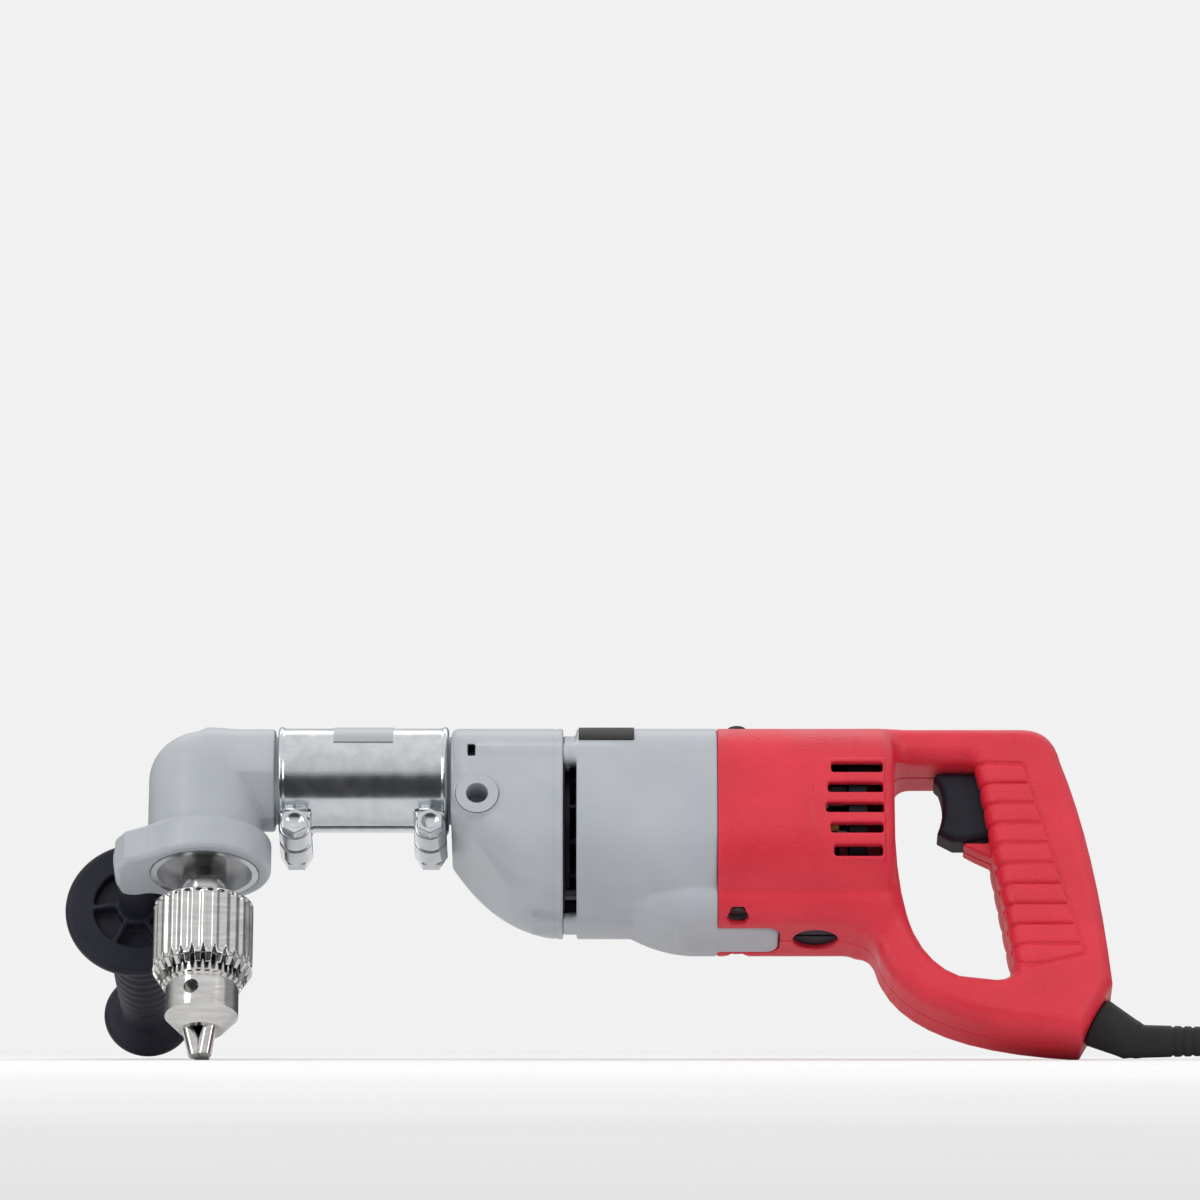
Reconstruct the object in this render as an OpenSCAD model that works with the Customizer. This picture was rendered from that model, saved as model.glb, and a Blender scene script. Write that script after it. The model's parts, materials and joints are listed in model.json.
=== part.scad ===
// Corded right angle drill with a D-handle, a keyed chuck and a side handle.
// Everything is drawn in the tool's own axes: X runs along the motor to the handle, Z up along
// the chuck axis and Y away from the near side, with the origin where the chuck axis meets the
// output axis. rest_pose() then leans the tool back until it stands on the jaw tip, the end of
// the side handle and the rear corner of the D-handle.

/* [Angle head] */
// Radius of the upright barrel
head_r = 26; // [24.5:0.5:30]
// Top of the barrel above the output axis
head_top = 24; // [22:0.5:30]
// Rounding of the barrel's top edge
head_round = 18; // [8:1:20]
// Radius of the neck towards the sleeve
neck_r = 22.5; // [21:0.5:23.5]
// Right end of the neck from the chuck axis
neck_end = 31.5; // [29:0.5:33]
// Radius of the bottom flange
flange_r = 30; // [28:0.5:36]
// Thickness of the bottom flange
flange_t = 16.5; // [14:0.5:20]
// Bottom face of the flange below the output axis
flange_drop = 47; // [46.5:0.5:52]
// Radius of the side-handle boss on the flange
boss_r = 8; // [7:0.25:9]
// Side-handle axis from the chuck axis
boss_x = 33; // [31:0.5:38]
// Reach of the side-handle boss beyond the chuck axis
boss_reach = 22; // [18:0.5:25]
// Length of the spigot that enters the sleeve
head_spigot_len = 36; // [30:1:40]

/* [Bevel gears] */
// Module of the bevel pair
bevel_m = 2; // [1.8:0.05:2.1]
// Teeth on the bevel pinion
bevel_pinion_teeth = 12; // [11:1:13]
// Teeth on the driven bevel gear
bevel_gear_teeth = 18; // [17:1:19]
// Face width of the bevel teeth
bevel_face = 7; // [5:0.5:8]

/* [Chuck] */
// Radius of the toothed chuck sleeve
chuck_r = 22.5; // [21.5:0.5:26]
// Top of the chuck below the output axis
chuck_drop = 63; // [60:0.5:68]
// Length of the chuck sleeve
chuck_sleeve_len = 41; // [38:0.5:44]
// Radius of the chuck body
chuck_body_r = 16.5; // [16:0.25:17]
// Bottom of the straight part of the chuck body below the output axis
chuck_body_drop = 117.5; // [114:0.5:121]
// Height of the nose cone
nose_h = 7; // [5:0.5:9]
// Radius at the end of the nose cone
nose_r = 10; // [9:0.25:11]
// Jaw tips below the output axis
tip_drop = 137; // [134:0.5:142]
// Radius of one jaw
jaw_r = 3.5; // [3:0.1:3.8]
// Length of one jaw
jaw_len = 36; // [32:1:40]
// Angle of a jaw to the chuck axis
jaw_angle = 14; // [12:0.5:15]
// Teeth round the bottom of the chuck sleeve
chuck_teeth = 27; // [20:1:40]
// How far the chuck is turned at rest, so that two jaws and a key hole face the near side
chuck_turn = -45; // [-60:5:60]
// Radius of the chuck-key hole
key_hole_r = 3.5; // [2.5:0.1:4]

/* [Side handle] */
// Radius of the hand guard disc
disc_r = 33; // [26:0.5:38]
// Near face of the guard disc
disc_y = 52; // [44:1:60]
// Thickness of the guard disc
disc_t = 7; // [5:0.5:10]
// Radius of the grip
grip_r = 13.5; // [11:0.5:16]
// Radius of the end flange
end_r = 21; // [17:0.5:26]
// Thickness of the end flange
end_t = 7; // [5:0.5:10]
// Far end of the side handle
handle_end = 175; // [150:1:200]
// Radius of the side handle's stud
stud_r = 5; // [4:0.25:5.5]

/* [Coupling sleeve] */
// Outer radius of the sleeve
sleeve_r = 23.7; // [23:0.1:26]
// Bore radius of the sleeve
sleeve_bore_r = 20; // [19:0.1:20.5]
// Length of the sleeve
sleeve_len = 77; // [70:0.5:80]
// Gap between the neck and the sleeve, and between the sleeve and the gear case
sleeve_gap = 1.5; // [0.5:0.1:3]
// Radius of a clamp lug
lug_r = 7; // [6:0.25:8]
// Length of both halves of a clamp lug
lug_len = 27; // [22:0.5:32]
// Radius of the clamp bolt
clamp_bolt_r = 3.5; // [2.5:0.25:4]
// Width of the hex on the clamp bolt and nut
clamp_hex = 13; // [11:0.5:14]
// Slit of the split sleeve
slit_w = 2.4; // [1:0.1:4]

/* [Gear case] */
// Length of the gear case
case_len = 50.5; // [49:0.5:56]
// Width of the gear case and motor
body_w = 84; // [80:1:92]
// Height of the gear case and motor
body_h = 90; // [88:1:98]
// Corner radius of the gear case and motor
body_corner = 30; // [26:1:36]
// Wall of the castings
case_wall = 3.5; // [2.5:0.25:4]
// Motor axis below the output axis
motor_drop = 28; // [26.5:0.25:29]
// Length of the spigot that enters the sleeve
case_spigot_len = 36; // [28:1:40]
// Depth of the solid front of the gear case
case_front = 20; // [18:0.5:21]
// Outer radius of the side-handle socket
socket_r = 9.5; // [8:0.25:11]
// Bore radius of the side-handle socket
socket_bore_r = 5; // [4:0.25:6]
// Depth of the side-handle socket
socket_depth = 14; // [10:0.5:16]

/* [Gear train] */
// Module of the motor pinion and the idler gear
first_m = 0.7; // [0.68:0.01:0.72]
// Teeth on the motor pinion
first_pinion_teeth = 10; // [10:1:11]
// Teeth on the idler gear
first_gear_teeth = 50; // [48:1:50]
// Module of the idler pinion and the spindle gear
second_m = 1.2; // [1.18:0.01:1.22]
// Teeth on the idler pinion
second_pinion_teeth = 10; // [10:1:11]
// Teeth on the spindle gear
second_gear_teeth = 28; // [27:1:28]
// Face width of the idler gear
first_face = 7; // [5:0.5:8]
// Face width of the spindle gear
second_face = 9; // [7:0.5:10]

/* [Motor] */
// Length of the motor housing
motor_len = 63.5; // [60:0.5:70]
// Air gap between the gear case and the motor housing
vent_gap = 6; // [5:0.25:8]
// Wall of the motor housing and the handle shell
shell_wall = 3; // [2.5:0.25:3.5]
// Armature core as a share of the body's narrower side
armature_share = 0.548; // [0.5:0.002:0.56]
// Length of the armature core
armature_len = 52; // [44:1:54]
// Radius of the armature shaft
shaft_r = 5; // [4.5:0.1:5.5]
// Radius of the commutator
commutator_r = 13; // [11:0.5:15]
// Length of the commutator
commutator_len = 22; // [18:0.5:24]
// Radius of the fan
fan_r = 32.5; // [26:0.5:32.5]
// Fan blades
fan_blades = 12; // [7:1:16]
// Radius of a brush cap
brush_cap_r = 10; // [9:0.25:12]

/* [D-handle] */
// Length of the shell round the motor's rear end
shell_len = 77; // [74:0.5:78]
// Extra depth of the shell below the motor housing
shell_extra = 3.5; // [1:0.25:6]
// Half width of the D-handle
handle_half_w = 19.5; // [18:0.5:23]
// Top of the D-handle above the output axis
handle_top = 19; // [16:0.5:22]
// Thickness of the top bar
top_bar = 17.5; // [15:0.5:18.5]
// Rear end of the D-handle from the chuck axis
handle_rear = 408; // [404:1:420]
// Depth of the grip from front to back
grip_depth = 43; // [40:0.5:46]
// Left side of the finger opening from the chuck axis
opening_x = 311.5; // [310:0.5:316]
// Height of the finger opening
opening_h = 107; // [100:0.5:109]
// Pull of the trigger
trigger_pull = 7; // [4:0.5:8]
// Half width of the trigger
trigger_half_w = 8; // [6:0.25:9]

/* [Cord] */
// Radius of the cord
cord_r = 4.5; // [3.5:0.1:4.6]
// Radius of the strain relief's sleeve
relief_r = 7.5; // [6:0.25:7.6]
// Length of the strain relief's sleeve
relief_len = 31; // [20:1:40]
// Mean radius of the coil's turns
coil_r = 54; // [50:1:58]
// Turns in each layer of the coil
coil_turns = 3; // [2:1:4]

/* [Clearances] */
// Radial clearance of a running fit
run_gap = 0.05; // [0.02:0.01:0.1]
// Radial clearance of a fixed seat
seat_gap = 0.02; // [0.01:0.01:0.05]
// Clearance between pieces that must not touch
free_gap = 0.4; // [0.3:0.05:0.6]
// Backlash on one tooth flank as a share of the module
backlash = 0.12; // [0.08:0.01:0.16]

/* [Hidden] */
$fn = 64;

// Places along the motor axis
sleeve_x = neck_end + sleeve_gap;
case_x = sleeve_x + sleeve_len + sleeve_gap;
case_end = case_x + case_len;
motor_x = case_end + vent_gap;
motor_end = motor_x + motor_len;
shell_end = motor_end + shell_len;
plate_t = 6;
plate_x = case_end - plate_t;
cavity_x = case_x + case_front;
first_x = plate_x - 2 - first_face;
second_x = first_x - 1.5 - second_face;

// Bevel pair: the pitch cones meet at the origin
pinion_pitch_r = bevel_m * bevel_pinion_teeth / 2;
gear_pitch_r = bevel_m * bevel_gear_teeth / 2;
cone_dist = norm([pinion_pitch_r, gear_pitch_r]);
bevel_scale = 1 - bevel_face / cone_dist;
bevel_tip = 0.6 * bevel_m;
bevel_root = 1.1 * bevel_m;

// Seats in the head, below and above the output axis
retainer_t = 5.5;
retainer_r = 24.3;
retainer_bore_r = 21.5;
lower_bearing_r = 23;
lower_bearing_t = 12.5;
lower_bearing_top = flange_drop - retainer_t - lower_bearing_t;
spindle_r = 10;
upper_bearing_r = 12;
upper_bearing_z = 6;
upper_bearing_t = 10;
spindle_top_r = 5;
spindle_mid_r = 7;
pinion_bore_r = 14;
pinion_shaft_r = 7;
pinion_tail_r = 5;
pinion_bearing_t = 9;
pinion_bearing_x = neck_end + 1.5;
pinion_bearing2_x = neck_end + head_spigot_len - pinion_bearing_t - 6;
pinion_end = neck_end + head_spigot_len + 4.5;
gear_cavity_r = gear_pitch_r + bevel_tip + 1.8;

// Chuck
sleeve_bottom = chuck_drop + chuck_sleeve_len;
sleeve_cavity_r = chuck_r - 2.5;
tooth_h = 7;
tooth_depth = 1.6;
key_depth = 6;
key_up = 8;
nut_z = sleeve_bottom - 11;
nut_t = 5;
nut_r = chuck_body_r + 1.3;
chuck_socket_r = 8;
chuck_socket_len = 17;
bit_bore_r = 6.5;
jaw_gap = 0.15;
tip_r = 3.6;

// Side handle
boss_z = -(flange_drop - flange_t / 2);
// The stud sits in a blind bore of the boss and reaches this far into the grip's guard
stud_start = 16 - boss_reach;
stud_in_grip = 16;
// Plan of the lobe that carries the side handle: smooth on the near side, square on the handle's side
lobe_tip = boss_x + boss_r * 0.94;
lobe_plan = [
    [0, -flange_r * 0.83], [-boss_x * 0.73, -flange_r * 0.66], [-boss_x - boss_r * 0.4, -flange_r * 0.43],
    [-lobe_tip, -flange_r * 0.17], [-lobe_tip, boss_reach * 0.64], [-boss_x - boss_r * 0.6, boss_reach - 0.5],
    [-boss_x + boss_r * 0.9, boss_reach - 0.5], [0, flange_r * 0.83],
];

// Lean and height of the photographed rest: tip, end flange and D-handle corner on one plane
lean = atan((boss_z - end_r + tip_drop) / (handle_end - tip_r));
lift = tip_drop * cos(lean) + tip_r * sin(lean);
handle_flat_w = handle_half_w - 6.5;
handle_bottom = (handle_flat_w * sin(lean) - lift) / cos(lean);

// Strain relief on the slanted rear face of the D-handle
slant_top = [handle_rear, handle_bottom + 25.5];
slant_low = [handle_rear - 14.5, handle_bottom];
slant_mid = (slant_top + slant_low) / 2;
slant_dir = slant_top - slant_low;
slant_angle = atan2(slant_dir[0], slant_dir[1]);
relief_lift = relief_r + 0.8;
boot_len = (slant_mid[1] - (relief_lift - lift) / cos(lean)) / sin(slant_angle);
boot_end = slant_mid + boot_len * [cos(slant_angle), -sin(slant_angle)];
relief_end_x = boot_end[0] + relief_len;

// Box of the tool at rest, without its cord
mid_x = (relief_end_x - boss_x - disc_r) / 2;
far_y = handle_end * cos(lean) + (boss_z + end_r) * sin(lean);
near_y = -handle_half_w * cos(lean) + (handle_bottom + 5) * sin(lean);
mid_y = (far_y + near_y) / 2;

// Idler between the motor axis and the output axis
first_a = first_m * (first_pinion_teeth + first_gear_teeth) / 2;
second_a = second_m * (second_pinion_teeth + second_gear_teeth) / 2;
idler_up = (first_a ^ 2 - second_a ^ 2 + motor_drop ^ 2) / (2 * motor_drop);
idler_y = sqrt(first_a ^ 2 - idler_up ^ 2);
idler_z = idler_up - motor_drop;
idler_r = 4;
idler_bearing_r = 6.5;
idler_bearing_t = 6;
drive_r = 8;
drive_bearing_r = 13;
drive_bearing_t = 11;
drive_tail_r = 4;
drive_bush_r = 6.5;
front_bearing_r = 11;
gear_room = 0.6;
case_ridge_r = second_m * second_gear_teeth / 2 + second_m + case_wall + gear_room;
idler_case_r = first_m * first_gear_teeth / 2 + first_m + case_wall + gear_room;

// Motor pieces
stator_gap = 0.3;
stator_r = min(body_w, body_h) / 2 - shell_wall - stator_gap;
armature_r = armature_share * min(body_w, body_h) / 2;
stator_x = motor_end - 4 - armature_len;
coil_t = 4;
air_gap = 1;
pole_gap = 18;
slot_depth = 9;
slot_w = 3;
fan_x = case_end + 1;
fan_t = 8;
rear_bearing_x = shell_end - 18;
brush_x = rear_bearing_x - 15;
rear_bearing_r = 9;
rear_bearing_t = 8;
rear_shaft_r = 4;
brush_r = 5;
holder_r = 7;
holder_in = 16;
screw_r = 2.5;
screw_head_r = 4.2;
upper_screw = [body_w / 2 - 19.7, body_h / 2 - motor_drop - 10.5];
lower_screw = [body_w / 2 - 26, 8.5 - body_h / 2 - motor_drop];
case_screws = [for (s = [-1, 1], p = [upper_screw, lower_screw]) [s * p[0], p[1]]];
case_boss_r = 6;
boss_run = 24;
boss_swell = 2;
post_r = 4.5;
shell_screw_x = motor_end + 9;
shell_screw_y = 20;
case_boss_len = vent_gap + 5;
handle_screw_places = [
    [opening_x + 10, handle_top - top_bar / 2], [handle_rear - 40, handle_top - top_bar / 2],
    [opening_x + 14, handle_bottom + 24], [handle_rear - 28, handle_bottom + 15]
];

// Points along a quadratic curve from a to c that leans on b
function curve(a, b, c, n = 8) = [
    for (i = [0 : n]) let (t = i / n) (1 - t) ^ 2 * a + 2 * t * (1 - t) * b + t ^ 2 * c
];

// Outline moved inwards by d (outwards when d is negative), for points listed clockwise
function edge_normal(a, b) = let (e = b - a) [e[1], -e[0]] / norm(e);
function inset(p, d) = [
    for (i = [0 : len(p) - 1])
        let (n = len(p), a = edge_normal(p[(i + n - 1) % n], p[i]), b = edge_normal(p[i], p[(i + 1) % n]))
        p[i] + (a + b) * d / (1 + a * b)
];

// Side outline of the D-handle, clockwise from the front of the top bar
grip_top = [handle_rear - 22, handle_top - 12];
handle_outline = concat(
    [[shell_end - 14, handle_top]],
    curve([handle_rear - 38, handle_top], [handle_rear - 26, handle_top], grip_top, 6),
    curve([handle_rear - 21, handle_top - 16], [handle_rear - 6, handle_top - 59], slant_top),
    curve(slant_low, [opening_x + 8, handle_bottom + 4], [shell_end - 3.5, handle_top - 116], 10),
    curve([shell_end - 4.5, handle_top - 118 + 4], [shell_end - 8, handle_top - 100],
        [shell_end - 14, handle_top - 99], 4)
);
opening_top = handle_top - top_bar;
opening_low = opening_top - opening_h;
opening_rear_top = handle_rear - 21 - grip_depth + 4;
opening_rear_low = handle_rear - grip_depth;
opening_outline = concat(
    curve([opening_x, opening_top - 5], [opening_x, opening_top], [opening_x + 5, opening_top], 3),
    curve([opening_rear_top - 5, opening_top], [opening_rear_top, opening_top],
        [opening_rear_top + 1.2, opening_top - 6], 3),
    curve([opening_rear_low - 1, opening_low + 9], [opening_rear_low, opening_low],
        [opening_rear_low - 9, opening_low], 4),
    curve([opening_x + 28, opening_low + 2], [opening_x + 2, opening_low + 12],
        [opening_x, opening_low + 66])
);
// Steps of the rounded handle: how far in, and up to which half width
handle_steps = [[0, handle_flat_w], [1.6, handle_half_w - 2.5], [5, handle_half_w]];
handle_wall = 3.2;

// Trigger and switch behind the front face of the grip
trigger_top = opening_top - 1;
trigger_low = trigger_top - 34;
trigger_x = opening_rear_top - 18;
trigger_back = opening_rear_top + 10;
switch_x = trigger_back + trigger_pull + 1.5;
switch_len = 17;
plunger_r = 3;

// Cord on the table, in the axes of the rest pose
cord_start = [relief_end_x - mid_x, boot_end[1] * sin(lean) - mid_y, relief_lift];
coil_x = 400;
coil_lay = 2 * cord_r + 1.6;
coil_low = cord_r + 1.6;
coil_center = [coil_x, cord_start[1] + coil_r + coil_turns * coil_lay / 2];
coil_in_r = coil_r - coil_turns * coil_lay / 2;
coil_out_r = coil_r + coil_turns * coil_lay / 2;
coil_total = 2 * coil_turns + 0.5;
plug_h = 16;
plug_len = 34;

// Lean the tool back onto its three points and centre it
module rest_pose() { translate([-mid_x, -mid_y, lift]) rotate([-lean, 0, 0]) children(); }

// Turn a shape drawn up Z so that it points along X, at x
module along_x(x = 0) { translate([x, 0, 0]) rotate([0, 90, 0]) children(); }

// Turn a shape drawn up Z so that it points along Y, from a place
module along_y(place) { translate(place) rotate([-90, 0, 0]) children(); }

// Side outline in X and Z, drawn out to half width w on both sides
module side_plate(w) { translate([0, w, 0]) rotate([90, 0, 0]) linear_extrude(2 * w) children(); }

module ring(r_out, r_in, h) {
    difference() {
        cylinder(r = r_out, h = h);
        translate([0, 0, -1]) cylinder(r = r_in, h = h + 2);
    }
}

module hex(width, h) { cylinder(d = width / cos(30), h = h, $fn = 6); }

// Involute gear outline with a tooth centred on angle 0
pressure = 25;
function involute(a) = tan(a) * 180 / PI - a;
function gear_points(teeth, m, tip, root, play) =
    let (rp = teeth * m / 2, rb = rp * cos(pressure), ra = rp + tip, rf = rp - root)
    let (radii = concat([rf], [for (i = [0 : 4]) let (a = max(rb, rf + 0.01)) a + (ra - a) * i / 4]))
    let (half = [for (r = radii) 90 / teeth - play / rp * 180 / PI + involute(pressure)
        - involute(acos(min(1, rb / r)))])
    [
        for (k = [0 : teeth - 1], i = [0 : 11])
            let (j = i < 6 ? i : 11 - i, side = i < 6 ? -1 : 1, a = k * 360 / teeth + side * half[j])
            radii[j] * [cos(a), sin(a)]
    ];
module gear(teeth, m, h) {
    linear_extrude(h) polygon(gear_points(teeth, m, 0.8 * m, m, backlash * m));
}
module bevel(teeth, height) {
    linear_extrude(height * (1 - bevel_scale), scale = bevel_scale)
        polygon(gear_points(teeth, bevel_m, bevel_tip, bevel_root, 2 * backlash * bevel_m));
}

// Rounded section of the castings, drawn across the motor axis
module body_section(in, extra = 0) {
    w = body_w - 2 * in;
    h = body_h - 2 * in + extra;
    r = body_corner - in;
    translate([motor_drop + extra / 2, 0]) {
        square([h, w - 2 * r], center = true);
        square([h - 2 * r, w], center = true);
        for (u = [-1, 1], v = [-1, 1]) translate([u * (h / 2 - r), v * (w / 2 - r)]) circle(r);
    }
}

// Angle head
head_profile = concat(
    [[0, -flange_drop + 1], [head_r, -flange_drop + 1]],
    [for (a = [0 : 15 : 90]) [head_r - head_round, head_top - head_round] + head_round * [cos(a), sin(a)]],
    [[0, head_top]]
);
module angle_head_case() color("gainsboro") rest_pose() difference() {
    union() {
        rotate_extrude() polygon(head_profile);
        along_x() cylinder(r = neck_r, h = neck_end);
        along_x(neck_end - 1) cylinder(r = sleeve_bore_r - run_gap, h = head_spigot_len + 1);
        translate([0, 0, -flange_drop]) {
            cylinder(r = flange_r, h = flange_t);
            linear_extrude(flange_t) polygon(lobe_plan);
        }
        along_y([-boss_x, 0, boss_z]) cylinder(r = boss_r, h = boss_reach);
    }
    translate([0, 0, -flange_drop - 1]) cylinder(r = retainer_r + seat_gap, h = retainer_t + 1);
    translate([0, 0, -flange_drop])
        cylinder(r = lower_bearing_r + seat_gap, h = retainer_t + lower_bearing_t);
    translate([0, 0, -lower_bearing_top - 1])
        cylinder(r = gear_cavity_r, h = lower_bearing_top - pinion_pitch_r / 2 + 1);
    translate([0, 0, -pinion_pitch_r])
        cylinder(r = upper_bearing_r - 2, h = pinion_pitch_r + upper_bearing_z + 1);
    translate([0, 0, upper_bearing_z]) cylinder(r = upper_bearing_r + seat_gap, h = upper_bearing_t);
    along_x() cylinder(r = pinion_bore_r + seat_gap, h = neck_end + head_spigot_len + 1);
    along_y([-boss_x, stud_start - seat_gap, boss_z])
        cylinder(r = stud_r + seat_gap, h = boss_reach - stud_start + 1);
}
module bearing_retainer() color("silver") rest_pose()
    translate([0, 0, -flange_drop]) ring(retainer_r, retainer_bore_r, retainer_t);
module spindle_bearing_upper() color("silver") rest_pose()
    translate([0, 0, upper_bearing_z]) ring(upper_bearing_r, spindle_top_r + run_gap, upper_bearing_t);
module spindle_bearing_lower() color("silver") rest_pose()
    translate([0, 0, -lower_bearing_top - lower_bearing_t])
        ring(lower_bearing_r, spindle_r + run_gap, lower_bearing_t);
module pinion_bearing_front() color("silver") rest_pose()
    along_x(pinion_bearing_x) ring(pinion_bore_r, pinion_shaft_r + run_gap, pinion_bearing_t);
module pinion_bearing_rear() color("silver") rest_pose()
    along_x(pinion_bearing2_x) ring(pinion_bore_r, pinion_shaft_r + run_gap, pinion_bearing_t);
module chuck_spindle() color("darkgray") rest_pose() {
    translate([0, 0, -chuck_drop - chuck_socket_len + 1]) cylinder(r = chuck_socket_r, h = chuck_socket_len);
    translate([0, 0, -chuck_drop]) cylinder(r = spindle_r, h = chuck_drop - lower_bearing_top + free_gap);
    translate([0, 0, -lower_bearing_top])
        cylinder(r = spindle_mid_r, h = lower_bearing_top + upper_bearing_z - free_gap);
    translate([0, 0, upper_bearing_z - 1]) cylinder(r = spindle_top_r, h = upper_bearing_t);
}
module driven_bevel_gear() color("dimgray") rest_pose() difference() {
    union() {
        translate([0, 0, -pinion_pitch_r]) rotate([0, 0, 180 / bevel_gear_teeth])
            bevel(bevel_gear_teeth, pinion_pitch_r);
        translate([0, 0, -lower_bearing_top + free_gap])
            cylinder(r = gear_pitch_r - bevel_root - 0.4, h = lower_bearing_top - pinion_pitch_r - free_gap);
    }
    translate([0, 0, -lower_bearing_top - 1])
        cylinder(r = spindle_mid_r + seat_gap, h = lower_bearing_top + 1);
}
module bevel_pinion() color("dimgray") rest_pose() {
    along_x(gear_pitch_r) mirror([0, 0, 1]) bevel(bevel_pinion_teeth, gear_pitch_r);
    along_x(gear_pitch_r - 1)
        cylinder(r = pinion_pitch_r - bevel_root - 1.5, h = pinion_bearing_x - gear_pitch_r - free_gap + 1);
    along_x(gear_pitch_r)
        cylinder(r = pinion_shaft_r, h = pinion_bearing2_x + pinion_bearing_t + 0.5 - gear_pitch_r);
    along_x(gear_pitch_r) cylinder(r = pinion_tail_r, h = pinion_end - gear_pitch_r);
}

// Keyed chuck: a jaw's axis leans out from the tip, turned a degrees round the chuck
module jaw_axis(a) {
    rotate([0, 0, a]) translate([jaw_r * 0.55, 0, -tip_drop]) rotate([0, jaw_angle, 0]) children();
}
function jaw_turn(k) = chuck_turn + k * 120;
module jaw_bores(r, down, h) {
    for (k = [0 : 2]) jaw_axis(jaw_turn(k)) translate([0, 0, -down]) cylinder(r = r, h = h);
}
module chuck_body() color("silver") rest_pose() difference() {
    union() {
        translate([0, 0, -chuck_body_drop]) cylinder(r = chuck_body_r, h = chuck_body_drop - chuck_drop);
        translate([0, 0, -chuck_body_drop - nose_h]) cylinder(r1 = nose_r, r2 = chuck_body_r, h = nose_h);
    }
    translate([0, 0, -chuck_drop - chuck_socket_len])
        cylinder(r = chuck_socket_r + seat_gap, h = chuck_socket_len + 1);
    translate([0, 0, -tip_drop]) cylinder(r = bit_bore_r, h = tip_drop - chuck_drop - chuck_socket_len - 4);
    jaw_bores(jaw_r + run_gap, 2, jaw_len + 30);
    for (k = [0 : 2]) rotate([0, 0, jaw_turn(k) - 60])
        translate([chuck_body_r - key_depth, 0, -chuck_body_drop + key_up])
            rotate([0, 90, 0]) cylinder(r = key_hole_r, h = chuck_body_r);
}
module tooth_ring() {
    n = 2 * chuck_teeth;
    polygon([
        for (i = [0 : n - 1]) let (a = i * 180 / chuck_teeth, r = chuck_r - 0.2 - (i % 2) * tooth_depth)
            r * [cos(a), sin(a)]
    ]);
}
module chuck_sleeve() color("silver") rest_pose() difference() {
    union() {
        translate([0, 0, -sleeve_bottom + tooth_h]) cylinder(r = chuck_r, h = chuck_sleeve_len - tooth_h);
        translate([0, 0, -sleeve_bottom]) linear_extrude(tooth_h + 0.5) tooth_ring();
    }
    translate([0, 0, -sleeve_bottom - 1]) cylinder(r = chuck_body_r + run_gap, h = chuck_sleeve_len + 2);
    translate([0, 0, -sleeve_bottom + 6]) cylinder(r = sleeve_cavity_r, h = chuck_sleeve_len - 10);
}
module chuck_nut() color("gray") rest_pose()
    translate([0, 0, -nut_z]) ring(sleeve_cavity_r - seat_gap, nut_r, nut_t);
module chuck_jaw(k) color("gray") rest_pose() intersection() {
    jaw_axis(jaw_turn(k)) translate([0, 0, -4]) cylinder(r = jaw_r, h = jaw_len + 4);
    rotate([0, 0, jaw_turn(k)]) translate([0, 0, -tip_drop]) linear_extrude(jaw_len + 8)
        polygon([[jaw_gap, 0], [40 * cos(60), 40 * sin(60)], [60, 0], [40 * cos(60), -40 * sin(60)]]);
}
module chuck_jaw_1() chuck_jaw(0);
module chuck_jaw_2() chuck_jaw(1);
module chuck_jaw_3() chuck_jaw(2);

// Side handle
module side_handle_grip() color("#1c1c1e") rest_pose() along_y([-boss_x, 0, boss_z]) difference() {
    union() {
        translate([0, 0, disc_y]) cylinder(r = disc_r, h = disc_t);
        translate([0, 0, disc_y + disc_t - 1]) cylinder(r1 = grip_r + 5, r2 = grip_r, h = 14);
        translate([0, 0, disc_y + disc_t]) cylinder(r = grip_r, h = handle_end - end_t - disc_y - disc_t);
        translate([0, 0, handle_end - end_t - 9]) cylinder(r1 = grip_r - 0.5, r2 = end_r - 3, h = 9.5);
        translate([0, 0, handle_end - end_t]) cylinder(r = end_r, h = end_t);
        translate([0, 0, boss_reach]) cylinder(r = boss_r, h = disc_y - boss_reach + 4);
    }
    difference() {
        translate([0, 0, disc_y - 1]) cylinder(r = disc_r * 0.6, h = 5);
        translate([0, 0, disc_y - 2]) cylinder(r = boss_r + 1, h = 7);
        for (a = [0 : 60 : 300]) rotate([0, 0, a]) translate([0, -1, disc_y - 2]) cube([disc_r, 2, 7]);
    }
    translate([0, 0, boss_reach - 1])
        cylinder(r = stud_r + seat_gap, h = disc_y + stud_in_grip + 2 - boss_reach);
}
module side_handle_stud() color("silver") rest_pose()
    along_y([-boss_x, stud_start, boss_z]) cylinder(r = stud_r, h = disc_y + stud_in_grip - stud_start);

// Split coupling sleeve with two clamps under it
clamp_x = [sleeve_x + lug_r + 1, sleeve_x + sleeve_len - lug_r - 1];
lug_z = -sleeve_r - lug_r + 1.5;
clamp_head = 5.5;
module coupling_sleeve() color("lightgray") rest_pose() difference() {
    union() {
        along_x(sleeve_x) cylinder(r = sleeve_r, h = sleeve_len);
        for (x = clamp_x) along_y([x, -lug_len / 2, lug_z]) cylinder(r = lug_r, h = lug_len);
        for (x = clamp_x) translate([x - lug_r, -lug_len / 2 + 4, lug_z])
            cube([2 * lug_r, lug_len - 8, lug_r]);
    }
    along_x(sleeve_x - 1) cylinder(r = sleeve_bore_r, h = sleeve_len + 2);
    translate([sleeve_x - 1, -slit_w / 2, lug_z - lug_r - 1]) cube([sleeve_len + 2, slit_w, lug_r * 2 + 8]);
    for (x = clamp_x) along_y([x, -lug_len / 2 - 1, lug_z])
        cylinder(r = clamp_bolt_r + 0.2, h = lug_len + 2);
}
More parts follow.
